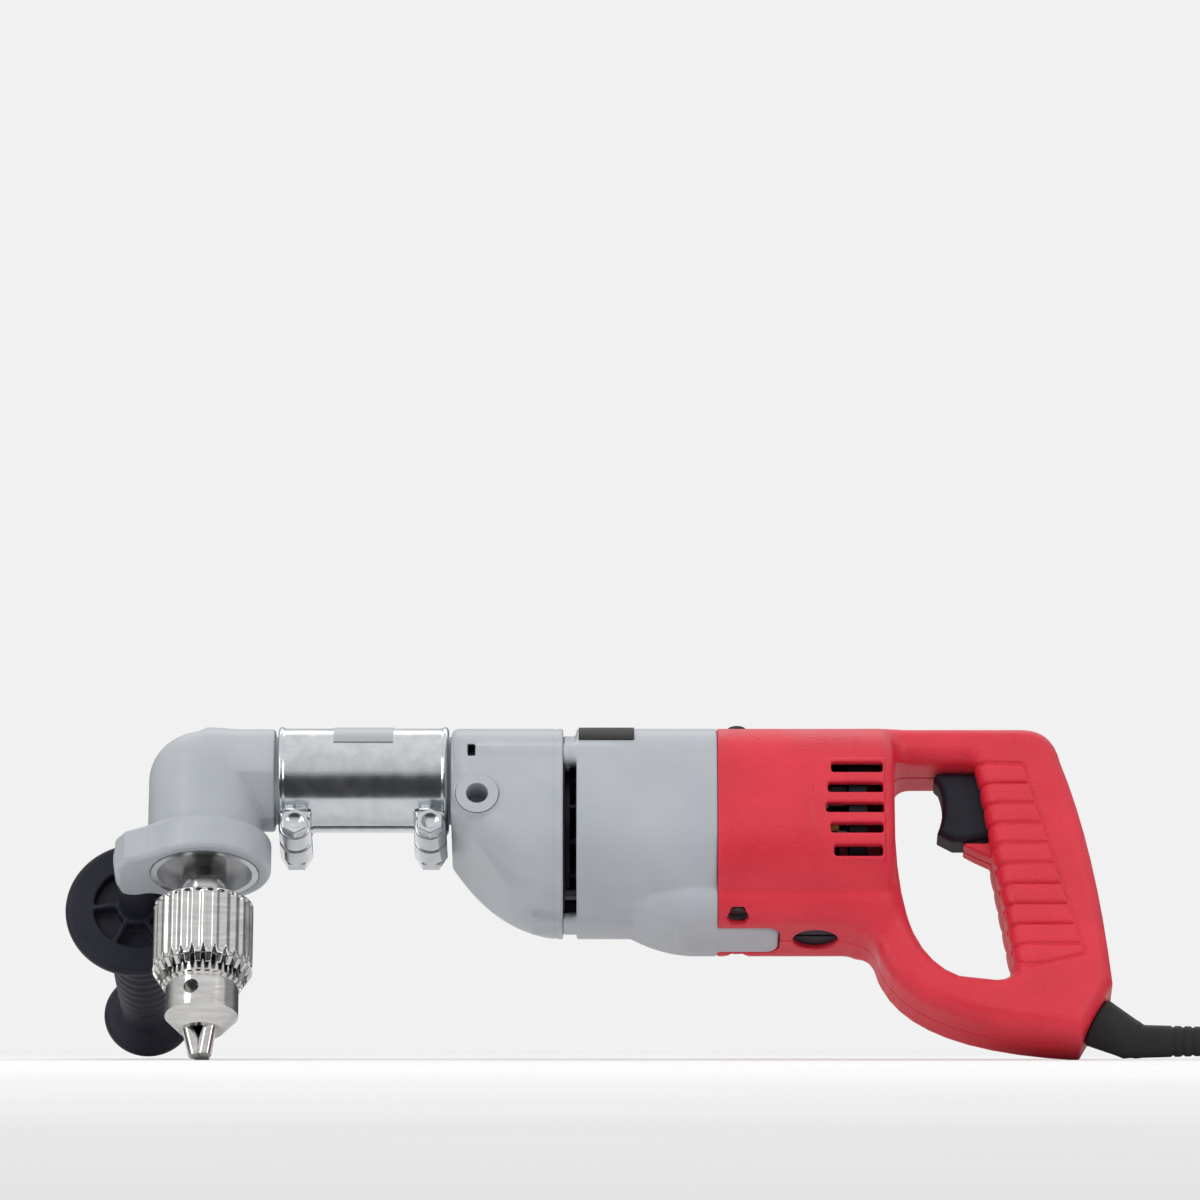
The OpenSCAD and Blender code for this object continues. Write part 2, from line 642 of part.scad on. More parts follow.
module clamp_bolts() color("silver") rest_pose() for (x = clamp_x) {
    along_y([x, -lug_len / 2 - clamp_head, lug_z]) hex(clamp_hex, clamp_head);
    along_y([x, -lug_len / 2 - 0.5, lug_z]) cylinder(r = clamp_bolt_r, h = lug_len + clamp_head + 2);
}
module clamp_nuts() color("silver") rest_pose() for (x = clamp_x)
    along_y([x, lug_len / 2, lug_z]) difference() {
        hex(clamp_hex, clamp_head);
        translate([0, 0, -1]) cylinder(r = clamp_bolt_r + seat_gap, h = clamp_head + 2);
    }
label_len = 27;
module sleeve_label() color("whitesmoke") rest_pose() intersection() {
    along_x(sleeve_x + sleeve_len / 2 - label_len / 2) ring(sleeve_r + 0.5, sleeve_r + seat_gap, label_len);
    rotate([30, 0, 0]) translate([sleeve_x, -15, 0]) cube([sleeve_len, 30, sleeve_r * 2]);
}

// Drive line from the gear case into the head
coupling_r = 10.5;
coupling_x = pinion_end - 8;
coupling_mid = pinion_end + 1;
coupling_len = 22;
module drive_coupling() color("dimgray") rest_pose() difference() {
    along_x(coupling_x) cylinder(r = coupling_r, h = coupling_len);
    along_x(coupling_x - 1) cylinder(r = pinion_tail_r + run_gap, h = coupling_len);
    along_x(coupling_mid) cylinder(r = drive_r + seat_gap, h = coupling_len);
}
module drive_spindle() color("darkgray") rest_pose() {
    along_x(coupling_mid + 0.5) cylinder(r = drive_r, h = second_x + second_face - coupling_mid);
    along_x(second_x) cylinder(r = drive_tail_r, h = case_end - 1 - second_x);
}
module spindle_gear() color("dimgray") rest_pose() difference() {
    along_x(second_x) rotate([0, 0, atan2(idler_y, -idler_z) + 180 / second_gear_teeth])
        gear(second_gear_teeth, second_m, second_face);
    along_x(second_x - 1) cylinder(r = drive_r + seat_gap, h = second_face + 2);
}
module drive_bearings() color("silver") rest_pose() {
    along_x(case_x + 2) ring(drive_bearing_r, drive_r + run_gap, drive_bearing_t);
    along_x(plate_x) ring(drive_bush_r, drive_tail_r + run_gap, plate_t);
}
module at_idler() { translate([0, idler_y, idler_z]) children(); }
module at_motor() { translate([0, 0, -motor_drop]) children(); }
module idler_gear() color("dimgray") rest_pose() at_idler() difference() {
    along_x(first_x) rotate([0, 0, atan2(-idler_y, idler_up) + 180 / first_gear_teeth])
        gear(first_gear_teeth, first_m, first_face);
    along_x(first_x - 1) cylinder(r = idler_r + seat_gap, h = first_face + 2);
}
module idler_pinion() color("darkgray") rest_pose() at_idler() {
    along_x(second_x - 1) rotate([0, 0, atan2(-idler_y, idler_z)])
        gear(second_pinion_teeth, second_m, first_x - second_x + 1);
    along_x(cavity_x - idler_bearing_t)
        cylinder(r = idler_r, h = case_end - 0.5 - cavity_x + idler_bearing_t);
}
module idler_bearings() color("silver") rest_pose() at_idler() {
    along_x(cavity_x - idler_bearing_t) ring(idler_bearing_r, idler_r + run_gap, idler_bearing_t);
    along_x(plate_x) ring(idler_bearing_r, idler_r + run_gap, plate_t);
}

// Gear case
socket_x = case_x + 12;
socket_z = -motor_drop + 1;
socket_out = 1.5;
case_low = motor_drop + body_h / 2;
case_profile = concat(
    [[case_end, case_low], [case_end, -case_low - 1]],
    curve([case_x + 36, -case_low - 1], [case_x + 8, -case_low + 4], [case_x, -case_low + 32], 10),
    [[case_x, case_low]]
);
module gear_case() color("gainsboro") rest_pose() difference() {
    union() {
        intersection() {
            union() {
                along_x(case_x) linear_extrude(case_len) body_section(0);
                along_x(case_x) cylinder(r = case_ridge_r, h = case_len);
                at_idler() along_x(case_x) cylinder(r = idler_case_r, h = case_len);
            }
            side_plate(body_w) polygon(case_profile);
        }
        along_x(case_x - case_spigot_len) cylinder(r = sleeve_bore_r - seat_gap, h = case_spigot_len + 1);
        along_y([socket_x, -body_w / 2 - socket_out, socket_z]) cylinder(r = socket_r + 2, h = socket_depth);
    }
    along_x(cavity_x) linear_extrude(case_len) body_section(case_wall);
    along_x(cavity_x) cylinder(r = case_ridge_r - case_wall, h = case_len);
    at_idler() along_x(cavity_x) cylinder(r = idler_case_r - case_wall, h = case_len);
    along_x(case_x - case_spigot_len - 1) cylinder(r = coupling_r + 1, h = case_spigot_len + case_front);
    along_x(case_x + 2) cylinder(r = drive_bearing_r + seat_gap, h = case_front);
    at_idler() along_x(cavity_x - idler_bearing_t) cylinder(r = idler_bearing_r + seat_gap, h = case_front);
    along_y([socket_x, -body_w / 2 - socket_out - 1, socket_z])
        cylinder(r = socket_r + seat_gap, h = socket_depth + 1);
}
module handle_socket() color("dimgray") rest_pose()
    along_y([socket_x, -body_w / 2 - socket_out, socket_z]) ring(socket_r, socket_bore_r, socket_depth);
module bearing_plate() color("lightgray") rest_pose() difference() {
    union() {
        along_x(plate_x) linear_extrude(plate_t) body_section(case_wall + seat_gap);
        along_x(plate_x) cylinder(r = case_ridge_r - case_wall - seat_gap, h = plate_t);
    }
    along_x(plate_x - 1) cylinder(r = drive_bush_r + seat_gap, h = plate_t + 2);
    at_idler() along_x(plate_x - 1) cylinder(r = idler_bearing_r + seat_gap, h = plate_t + 2);
    at_motor() along_x(plate_x - 1) cylinder(r = front_bearing_r + seat_gap, h = plate_t + 2);
    case_screw_holes();
}
module case_screw_holes() {
    for (p = case_screws) translate([0, p[0], p[1]]) along_x(plate_x - 1)
        cylinder(r = screw_r + seat_gap, h = plate_t + case_boss_len + 1);
}
module gear_case_screws() color("silver") rest_pose() for (p = case_screws) translate([0, p[0], p[1]]) {
    along_x(plate_x - 3) cylinder(r = screw_head_r, h = 3);
    along_x(plate_x - 1) cylinder(r = screw_r, h = plate_t + case_boss_len);
}
module motor_front_bearing() color("silver") rest_pose()
    at_motor() along_x(plate_x) ring(front_bearing_r, shaft_r + run_gap, plate_t);

// Motor
spigot_in = shell_wall + 0.15;
spigot_len = 16;
module motor_housing() color("gainsboro") rest_pose() difference() {
    union() {
        along_x(motor_x) linear_extrude(motor_len) body_section(0);
        along_x(motor_end - 1) linear_extrude(spigot_len + 1) body_section(spigot_in);
        intersection() {
            for (p = case_screws) translate([0, p[0], p[1]])
                along_x(case_end) cylinder(r = case_boss_r, h = boss_run);
            along_x(case_end) linear_extrude(boss_run) body_section(-boss_swell);
        }
    }
    difference() {
        union() {
            along_x(motor_x - 1) linear_extrude(motor_len - 2) body_section(shell_wall);
            along_x(motor_x - 1) linear_extrude(motor_len + spigot_len + 2)
                body_section(spigot_in + shell_wall);
        }
        for (p = case_screws) translate([0, p[0], p[1]])
            along_x(case_end) cylinder(r = case_boss_r, h = case_boss_len);
    }
    case_screw_holes();
    for (y = shell_screw_y * [-1, 1]) translate([shell_screw_x, y, -body_h * 2])
        cylinder(r = screw_r + seat_gap, h = body_h * 4);
}
film_t = 0.6;
name_len = 25;
name_low = 30;
name_high = 66;
module nameplate() color("whitesmoke") rest_pose()
    translate([0, -body_w / 2 + body_corner, -motor_drop + body_h / 2 - body_corner]) intersection() {
        along_x(motor_x + 1) ring(body_corner + film_t, body_corner + seat_gap, name_len);
        along_x(motor_x) linear_extrude(name_len + 2) polygon(concat(
            [[0, 0]], [for (a = [name_low, name_high]) 2 * body_corner * [-sin(a), -cos(a)]]
        ));
    }
module field_core() color("slategray") rest_pose() at_motor() along_x(stator_x) difference() {
    cylinder(r = stator_r, h = armature_len);
    translate([0, 0, -1]) cylinder(r = armature_r + air_gap, h = armature_len + 2);
    for (a = [0, 180]) rotate([0, 0, a]) translate([armature_r - 4, -pole_gap / 2, -1])
        cube([11, pole_gap, armature_len + 2]);
}
module field_coils() color("peru") rest_pose() at_motor()
    for (s = [-1, 1], x = [stator_x - coil_t, stator_x + armature_len]) along_x(x) difference() {
        ring(armature_r + 10, armature_r + 2.5, coil_t);
        translate([-body_w, s > 0 ? -body_w : -2, -1]) cube([2 * body_w, body_w + 2, coil_t + 2]);
    }
module armature_shaft() color("darkgray") rest_pose() at_motor() {
    along_x(plate_x - free_gap) cylinder(r = shaft_r, h = rear_bearing_x - plate_x);
    along_x(plate_x) cylinder(r = rear_shaft_r, h = rear_bearing_x + rear_bearing_t - plate_x);
    along_x(first_x - 1) rotate([0, 0, atan2(idler_y, -idler_up)])
        gear(first_pinion_teeth, first_m, plate_x - first_x + 1);
}
module armature_core() color("slategray") rest_pose() at_motor() along_x(stator_x) difference() {
    ring(armature_r, shaft_r + seat_gap, armature_len);
    for (a = [0 : 30 : 330]) rotate([0, 0, a]) translate([armature_r - slot_depth, -slot_w / 2, -1])
        cube([slot_depth + 3, slot_w, armature_len + 2]);
}
module armature_windings() color("peru") rest_pose() at_motor() {
    along_x(stator_x - 4) ring(armature_r - 2, shaft_r + seat_gap, 4);
    along_x(stator_x + armature_len) ring(armature_r - 2, shaft_r + seat_gap, 9);
}
module commutator() color("chocolate") rest_pose() at_motor()
    along_x(brush_x - commutator_len / 2) difference() {
        ring(commutator_r, shaft_r + seat_gap, commutator_len);
        for (a = [0 : 15 : 345]) rotate([0, 0, a]) translate([commutator_r - 1.5, -0.3, -1])
            cube([3, 0.6, commutator_len + 2]);
    }
module fan() color("#303236") rest_pose() at_motor() along_x(fan_x) {
    difference() {
        union() {
            cylinder(r = fan_r, h = 2);
            cylinder(r = 12, h = fan_t);
            for (a = [0 : 360 / fan_blades : 359]) rotate([0, 0, a]) translate([11, -0.8, 0])
                cube([fan_r - 12, 1.6, fan_t]);
        }
        translate([0, 0, -1]) cylinder(r = shaft_r + seat_gap, h = fan_t + 2);
    }
}
module motor_rear_bearing() color("silver") rest_pose()
    at_motor() along_x(rear_bearing_x) ring(rear_bearing_r, rear_shaft_r + run_gap, rear_bearing_t);
arm_out = stator_r - 6.7;
arm_t = 12;
arm_margin = 3;
arm_half_w = holder_r + arm_margin;
cooling_r = 7;
cooling_out = stator_r - 14.7;
module brush_bracket() color("#2b2b2e") rest_pose() at_motor() difference() {
    union() {
        along_x(rear_bearing_x) cylinder(r = stator_r, h = rear_bearing_t);
        for (s = [-1, 1]) translate([brush_x - arm_half_w, -arm_half_w, s > 0 ? arm_out - arm_t : -arm_out])
            cube([rear_bearing_x - brush_x + arm_half_w + 1, 2 * arm_half_w, arm_t]);
    }
    along_x(rear_bearing_x - 1) cylinder(r = rear_bearing_r + seat_gap, h = rear_bearing_t + 2);
    for (s = [0, 180]) rotate([s, 0, 0]) translate([brush_x, 0, 1])
        cylinder(r = holder_r + seat_gap, h = body_h);
    for (a = [45 : 90 : 315]) at_bracket(a) cylinder(r = cooling_r, h = rear_bearing_t + 2);
}
module at_bracket(a) {
    rotate([a, 0, 0]) translate([rear_bearing_x - 1, cooling_out, 0]) rotate([0, 90, 0]) children();
}
cap_seat = 6;
brush_top = body_h / 2 - cap_seat;
function brush_reach(s) = s == 0 ? brush_top : brush_top + shell_extra;
brush_len = 12;
brush_in = commutator_r + 0.3;
module at_brush(s) { at_motor() translate([brush_x, 0, 0]) rotate([s, 0, 0]) children(); }
module brush_holders() color("goldenrod") rest_pose() for (s = [0, 180]) at_brush(s)
    translate([0, 0, holder_in]) ring(holder_r, brush_r + seat_gap, brush_reach(s) - holder_in);
module carbon_brushes() color("#3a3a3c") rest_pose() for (s = [0, 180]) at_brush(s)
    translate([0, 0, brush_in]) cylinder(r = brush_r, h = brush_len);
module brush_springs() color("goldenrod") rest_pose() for (s = [0, 180]) at_brush(s)
    translate([0, 0, brush_in + brush_len])
        cylinder(r = brush_r - 1, h = brush_reach(s) - brush_in - brush_len);
module brush_caps() color("#1c1c1e") rest_pose() for (s = [0, 180]) at_brush(s)
    translate([0, 0, brush_reach(s)]) difference() {
        cylinder(r = brush_cap_r, h = cap_seat + 0.8);
        translate([-brush_cap_r, -1, cap_seat - 1]) cube([2 * brush_cap_r, 2, 3]);
    }

// D-handle in two halves that meet on the middle plane; each is drawn on the near side
hook = [
    [trigger_x + 12.7, trigger_low - 0.8], [opening_rear_top + 8, trigger_low - 0.8],
    [opening_rear_top + 10, trigger_low - 13]
];
module half_plate(w, past = 0) {
    translate([0, past, 0]) rotate([90, 0, 0]) linear_extrude(w + past) children();
}
module handle_outer() {
    along_x(motor_end) linear_extrude(shell_len) intersection() {
        body_section(0, shell_extra);
        translate([-200, -400]) square(400);
    }
    for (step = handle_steps) difference() {
        half_plate(step[1]) polygon(inset(handle_outline, step[0]));
        half_plate(step[1] + 1, 1) polygon(inset(opening_outline, -step[0]));
    }
    half_plate(trigger_half_w + 2) polygon(hook);
}
vent_count = 5;
vent_len = 22;
vent_back = 25.5;
vent_h = 4.5;
vent_pitch = 10;
vent_z = handle_top - 32.5;
module handle_cavity() difference() {
    half_plate(handle_half_w - 3.5, 1) polygon(inset(handle_outline, handle_wall));
    half_plate(handle_half_w, 2) polygon(inset(opening_outline, -handle_wall));
    for (p = handle_screw_places) along_y([p[0], -handle_half_w, p[1]])
        cylinder(r = post_r, h = 2 * handle_half_w);
}
module handle_half(heads) difference() {
    handle_outer();
    along_x(motor_end - 1) linear_extrude(shell_len - shell_wall + 1) body_section(shell_wall, shell_extra);
    handle_cavity();
    translate([opening_rear_top - 3, -trigger_half_w - 0.3, trigger_low - 0.4])
        cube([
            trigger_back + trigger_pull + 4 - opening_rear_top, trigger_half_w + 2,
            trigger_top - trigger_low + 0.8
        ]);
    for (k = [0 : vent_count - 1])
        translate([shell_end - vent_back, -body_w, vent_z - vent_h / 2 - k * vent_pitch])
            cube([vent_len, body_w / 2 + 12, vent_h]);
    for (s = [0, 180]) at_brush(s) translate([0, 0, brush_reach(s)])
        cylinder(r = brush_cap_r + seat_gap, h = 20);
    for (p = handle_screw_places) {
        along_y([p[0], heads ? -40 : -12.5, p[1]]) cylinder(r = screw_r + seat_gap, h = 50);
        if (heads) along_y([p[0], -40 - head_seat, p[1]]) cylinder(r = screw_head_r + seat_gap, h = 40);
    }
    shell_screw_seats(-shell_screw_y) translate([0, 0, -12]) cylinder(r = screw_r + seat_gap, h = 20);
    shell_screw_seats(-shell_screw_y) cylinder(r = screw_head_r + seat_gap, h = 10);
    at_slant() translate([0, 0, -12]) rotate([0, 0, 15])
        cylinder(r = relief_neck_r + seat_gap, h = 16, $fn = 12);
}
head_seat = handle_flat_w + 0.5;
// Seats of the four screws that hold the shell to the motor housing, heads outwards
head_t = 1.8;
module shell_screw_seats(y) {
    edge = sqrt((body_corner) ^ 2 - max(0, abs(y) - body_w / 2 + body_corner) ^ 2);
    translate([shell_screw_x, y, -motor_drop + body_h / 2 - body_corner + edge - head_t]) children();
    translate([shell_screw_x, y, -motor_drop - body_h / 2 - shell_extra + body_corner - edge + head_t])
        mirror([0, 0, 1]) children();
}
module at_slant() { translate([slant_mid[0], 0, slant_mid[1]]) rotate([0, 90 + slant_angle, 0]) children(); }
relief_neck_r = 6.8;
module handle_half_near() color("#c8283c") rest_pose() handle_half(false);
module handle_half_far() color("#c8283c") rest_pose() mirror([0, 1, 0]) handle_half(true);
module handle_screws() color("#2b2b2e") rest_pose() {
    for (p = handle_screw_places) {
        along_y([p[0], -12, p[1]]) cylinder(r = screw_r, h = head_seat + 12.5);
        along_y([p[0], head_seat, p[1]]) cylinder(r = screw_head_r, h = 3);
    }
    for (y = shell_screw_y * [-1, 1]) shell_screw_seats(y) {
        cylinder(r = screw_head_r, h = head_t);
        translate([0, 0, -9]) cylinder(r = screw_r, h = 9.5);
    }
}
lobe_h = 6;
paddle_low = [trigger_x + 8, trigger_low];
paddle_curve = curve(
    [trigger_x + 1, trigger_low + 4], [trigger_x + 6, (trigger_top + trigger_low) / 2],
    [trigger_x + 2, trigger_top - lobe_h]
);
lobe = [[0, 2 - lobe_h], [0, -1.5], [1.5, 0]];
module trigger() color("#1c1c1e") rest_pose() {
    side_plate(trigger_half_w) polygon(concat(
        [[trigger_back, trigger_top], [trigger_back, trigger_low + 3], paddle_low + [lobe_h, 0], paddle_low],
        paddle_curve, [for (p = lobe) p + [trigger_x, trigger_top]]
    ));
    translate([0, 0, (trigger_top + trigger_low) / 2]) along_x(trigger_back - 1)
        cylinder(r = plunger_r, h = switch_x + 2 - trigger_back);
}
switch_half_w = handle_half_w - 3.5 - 0.3;
module switch_body() color("#2b2b2e") rest_pose() difference() {
    translate([switch_x, -switch_half_w, trigger_low + 1])
        cube([switch_len, 2 * switch_half_w, trigger_top - trigger_low]);
    translate([0, 0, (trigger_top + trigger_low) / 2]) along_x(switch_x - 1)
        cylinder(r = plunger_r + run_gap, h = trigger_pull + 3);
}
lead_r = 3.2;
lead_top = [switch_x + switch_len / 2, trigger_low + 1 - 1.3];
lead_low = slant_mid - (handle_wall + 3.4) * [cos(slant_angle), -sin(slant_angle)];
lead_dir = lead_low - lead_top;
module switch_leads() color("#1c1c1e") rest_pose()
    translate([lead_top[0], 0, lead_top[1]]) rotate([0, 90 + atan2(-lead_dir[1], lead_dir[0]), 0])
        cylinder(r = lead_r, h = norm(lead_dir) - 2.2);
module strain_relief() color("#1c1c1e") rest_pose() {
    at_slant() {
        translate([0, 0, -handle_wall - 3]) cylinder(r = relief_neck_r + 2, h = 2.6);
        translate([0, 0, -handle_wall - 1]) rotate([0, 0, 15])
            cylinder(r = relief_neck_r, h = handle_wall + 2, $fn = 12);
        translate([0, 0, 0.1]) cylinder(r1 = relief_r + 4, r2 = relief_r + 1.2, h = boot_len - 0.1);
    }
    translate([boot_end[0], 0, boot_end[1]]) sphere(relief_r);
    translate([0, 0, boot_end[1]]) along_x(boot_end[0]) cylinder(r = relief_r, h = relief_len);
}

// Cord: rings of a round tube along a route
function unit(v) = v / norm(v);
function heading(p, i) = unit(p[min(i + 1, len(p) - 1)] - p[max(i - 1, 0)]);
function tube_ring(c, d, r, sides) = let (s = unit(cross(d, [0, 0, 1])), u = cross(s, d))
    [for (k = [0 : sides - 1]) let (a = (k + 0.5) * 360 / sides) c + r * (cos(a) * s + sin(a) * u)];
module tube(route, r, sides) {
    n = len(route);
    points = [for (i = [0 : n - 1]) each tube_ring(route[i], heading(route, i), r, sides)];
    walls = [
        for (i = [0 : n - 2], k = [0 : sides - 1])
            let (a = i * sides + k, b = i * sides + (k + 1) % sides, c = b + sides, e = a + sides)
            each [[a, b, c], [a, c, e]]
    ];
    start = [for (k = [1 : sides - 2]) [0, k + 1, k]];
    last = (n - 1) * sides;
    end = [for (k = [1 : sides - 2]) [last, last + k, last + k + 1]];
    polyhedron(points, concat(walls, start, end));
}
straight = 2 * cord_r;
coil_start = [coil_center[0], cord_start[1], coil_low];
cord_route = [
    cord_start, cord_start + [10, 0, 0], [280, cord_start[1], 8], [300, cord_start[1], 7.4],
    [320, cord_start[1], 6.8], [340, cord_start[1], 6.3], [365, cord_start[1], coil_low],
    coil_start - [straight + 10, 0, 0], coil_start - [straight, 0, 0]
];
function coil_point(t) =
    let (up = min(1, max(0, (t - coil_turns) * 2)), a = t * 360 - 90)
    let (r = t < coil_turns ? coil_out_r - coil_lay * t : coil_in_r + coil_lay * max(0, t - coil_turns - 0.5))
    [coil_center[0] + r * cos(a), coil_center[1] + r * sin(a), coil_low + coil_lay * up];
loop_rings = 24;
coil_steps = coil_total * loop_rings;
coil_end = coil_point(coil_total);
coil_route = concat(
    [coil_start - [straight, 0, 0]],
    [for (i = [0 : coil_steps]) coil_point(i / loop_rings)],
    [coil_end - [straight, 0, 0]]
);
coil_gap = min([
    for (i = [0 : len(coil_route) - 1], j = [i + loop_rings / 2 : 1 : len(coil_route) - 1])
        norm(coil_route[i] - coil_route[j])
]) - 2 * cord_r;
echo(least_gap_between_turns = coil_gap);  // cord_coil
plug_mid = plug_h / 2 + 0.3;
plug_back = coil_end[0] - 60;
end_route = [
    coil_end - [straight, 0, 0], coil_end - [straight + 8, 0, 0], [coil_end[0] - 30, coil_end[1], 13],
    [coil_end[0] - 42, coil_end[1], 10], [plug_back + 9, coil_end[1], plug_mid],
    [plug_back, coil_end[1], plug_mid]
];
module cord() color("#1c1c1e") tube(cord_route, cord_r, 8);
module cord_coil() color("#1c1c1e") tube(coil_route, cord_r, 6);
module cord_end() color("#1c1c1e") tube(end_route, cord_r, 8);
tie_t = 1;
tie_w = 10;
tie_in = coil_in_r - cord_r - 0.6;
tie_out = coil_out_r + cord_r + 0.6;
tie_top = coil_low + coil_lay + cord_r + 0.4;
module cord_tie() color("#2b2b2e") translate([coil_center[0], coil_center[1] - tie_w / 2, 0]) difference() {
    translate([tie_in - tie_t, 0, 0.3]) cube([tie_out - tie_in + 2 * tie_t, tie_w, tie_top + tie_t - 0.3]);
    translate([tie_in, -1, 0.3 + tie_t]) cube([tie_out - tie_in, tie_w + 2, tie_top - tie_t - 0.3]);
}
blade_gap = 12.7;
module plug() color("#1c1c1e") translate([plug_back, coil_end[1], plug_mid]) {
    translate([-plug_len, -12, -plug_h / 2]) cube([plug_len - 8, 24, plug_h]);
    translate([-9, -8, -plug_h / 2 + 2]) cube([9, 16, plug_h - 4]);
    for (s = [-1, 1]) translate([-plug_len - 16, s * blade_gap / 2 - 0.75, -3.2]) cube([17, 1.5, 6.4]);
}

angle_head_case();
bearing_retainer();
spindle_bearing_upper();
spindle_bearing_lower();
pinion_bearing_front();
pinion_bearing_rear();
chuck_spindle();
driven_bevel_gear();
bevel_pinion();
chuck_body();
chuck_sleeve();
chuck_nut();
chuck_jaw_1();
chuck_jaw_2();
chuck_jaw_3();
side_handle_grip();
side_handle_stud();
coupling_sleeve();
clamp_bolts();
clamp_nuts();
sleeve_label();
drive_coupling();
drive_spindle();
spindle_gear();
drive_bearings();
gear_case();
gear_case_screws();
handle_socket();
idler_gear();
idler_pinion();
idler_bearings();
bearing_plate();
motor_front_bearing();
motor_housing();
nameplate();
field_core();
field_coils();
armature_shaft();
armature_core();
armature_windings();
commutator();
fan();
motor_rear_bearing();
brush_bracket();
brush_holders();
carbon_brushes();
brush_springs();
brush_caps();
handle_half_near();
handle_half_far();
handle_screws();
trigger();
switch_body();
switch_leads();
strain_relief();
cord();
cord_coil();
cord_end();
cord_tie();
plug();
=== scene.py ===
# %% [markdown]
# # A right angle drill, dressed in Blender
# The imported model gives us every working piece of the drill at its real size: gears, shafts, fits and
# joints. Here we dress it. The castings, the handle shell and the soft pieces get their true rounded forms,
# and every surface gets a finish. Nothing that the frame fixes is moved.

# %% Load the frame
import json
import math

import bpy
import numpy as np
import openvdb
from mathutils import Matrix, Vector


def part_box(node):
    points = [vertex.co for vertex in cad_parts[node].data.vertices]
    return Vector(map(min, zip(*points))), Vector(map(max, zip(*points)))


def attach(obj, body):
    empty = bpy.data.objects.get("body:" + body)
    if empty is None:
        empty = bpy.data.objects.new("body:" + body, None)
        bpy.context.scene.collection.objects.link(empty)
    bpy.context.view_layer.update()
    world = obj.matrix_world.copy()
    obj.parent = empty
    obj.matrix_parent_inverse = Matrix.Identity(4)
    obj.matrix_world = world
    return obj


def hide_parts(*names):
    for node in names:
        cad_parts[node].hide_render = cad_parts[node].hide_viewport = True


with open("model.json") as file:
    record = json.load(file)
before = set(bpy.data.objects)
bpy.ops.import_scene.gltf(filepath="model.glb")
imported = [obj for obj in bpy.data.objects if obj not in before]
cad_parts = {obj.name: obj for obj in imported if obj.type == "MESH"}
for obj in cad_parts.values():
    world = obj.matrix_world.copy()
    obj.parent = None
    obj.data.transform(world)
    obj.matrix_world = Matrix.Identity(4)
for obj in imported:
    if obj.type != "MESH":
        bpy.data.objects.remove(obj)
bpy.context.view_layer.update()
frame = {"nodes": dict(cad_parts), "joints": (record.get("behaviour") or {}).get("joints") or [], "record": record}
print("nodes in the frame:", len(frame["nodes"]))

# %% [markdown]
# ## The tool's own axes
# The drill leans back on its jaw tips and its side handle, so its axes aren't the world's. A designer draws
# along the motor and along the chuck, and so do we: the swivel joint gives the origin and the X axis, the
# chuck's joint gives the Z axis, and one matrix then carries tool millimetres to world metres.

# %% Tool axes from the joints
JOINT = {j["name"]: j for j in frame["joints"]}
MM = 0.001
origin = Vector(JOINT["head_swivel"]["pos_m"])
axis_x = Vector(JOINT["head_swivel"]["axis"]).normalized()
axis_z = Vector(JOINT["chuck_spin"]["axis"]).normalized()
axis_y = axis_z.cross(axis_x)
turned = Matrix((axis_x, axis_y, axis_z)).transposed().to_4x4()
TOOL = Matrix.Translation(origin) @ turned @ Matrix.Scale(MM, 4)
TO_TOOL = TOOL.inverted()
MOTOR_Z = (TO_TOOL @ Vector(JOINT["rotor_spin"]["pos_m"])).z


def tool_box(node):
    """Lowest and highest corner of a node along the tool's axes, in millimetres."""
    points = np.array([TO_TOOL @ v.co for v in frame["nodes"][node].data.vertices])
    return points.min(axis=0), points.max(axis=0)


print("lean of the tool: %.2f degrees" % math.degrees(math.acos(axis_z.z)))

# %% [markdown]
# ## The camera
# The photograph was taken level with the table and from far away: the jaw tips and the end of the side
# handle stand on one line although one is much farther off. A long lens at table height, tipped up a little
# to put the drill low in the square frame, gives the same picture without any lens shift.

# %% Camera
PIXELS_PER_MM = 2.2
FRAME_PIXELS = 1200
CHUCK_PIXEL_X = 207
TABLE_PIXEL_Y = 1059
SENSOR_MM = 36
CAMERA_DISTANCE, CAMERA_HEIGHT = 4.0, 0.012
view_width = FRAME_PIXELS / PIXELS_PER_MM * MM
centre_x = origin.x + (FRAME_PIXELS / 2 - CHUCK_PIXEL_X) / PIXELS_PER_MM * MM
centre_z = (TABLE_PIXEL_Y - FRAME_PIXELS / 2) / PIXELS_PER_MM * MM
camera = bpy.data.objects.new("camera", bpy.data.cameras.new("camera"))
bpy.context.scene.collection.objects.link(camera)
camera.location = (centre_x, -CAMERA_DISTANCE + origin.y, CAMERA_HEIGHT)
aim = Vector((centre_x, origin.y, centre_z)) - camera.location
camera.rotation_euler = aim.to_track_quat("-Z", "Y").to_euler()
camera.data.sensor_width = SENSOR_MM
camera.data.lens = SENSOR_MM * aim.length / view_width
camera.data.clip_start, camera.data.clip_end = 0.1, 30
bpy.context.scene.camera = camera
print("lens: %.0f mm" % camera.data.lens)

# %% [markdown]
# ## Finishes
# Each real finish is built from the same few thoughts: a base colour that drifts a little, a roughness that
# drifts with it, and a fine relief. One function holds them, and each material below only says how coarse
# the grain is, how far the colour drifts and how deep the relief goes. The grain is set in millimetres.

# %% The material builder
GRAIN_SHARE = 0.35
COLOUR_SPAN = (0.45, 0.9)
ROUGH_SPAN = (0.3, 0.7)


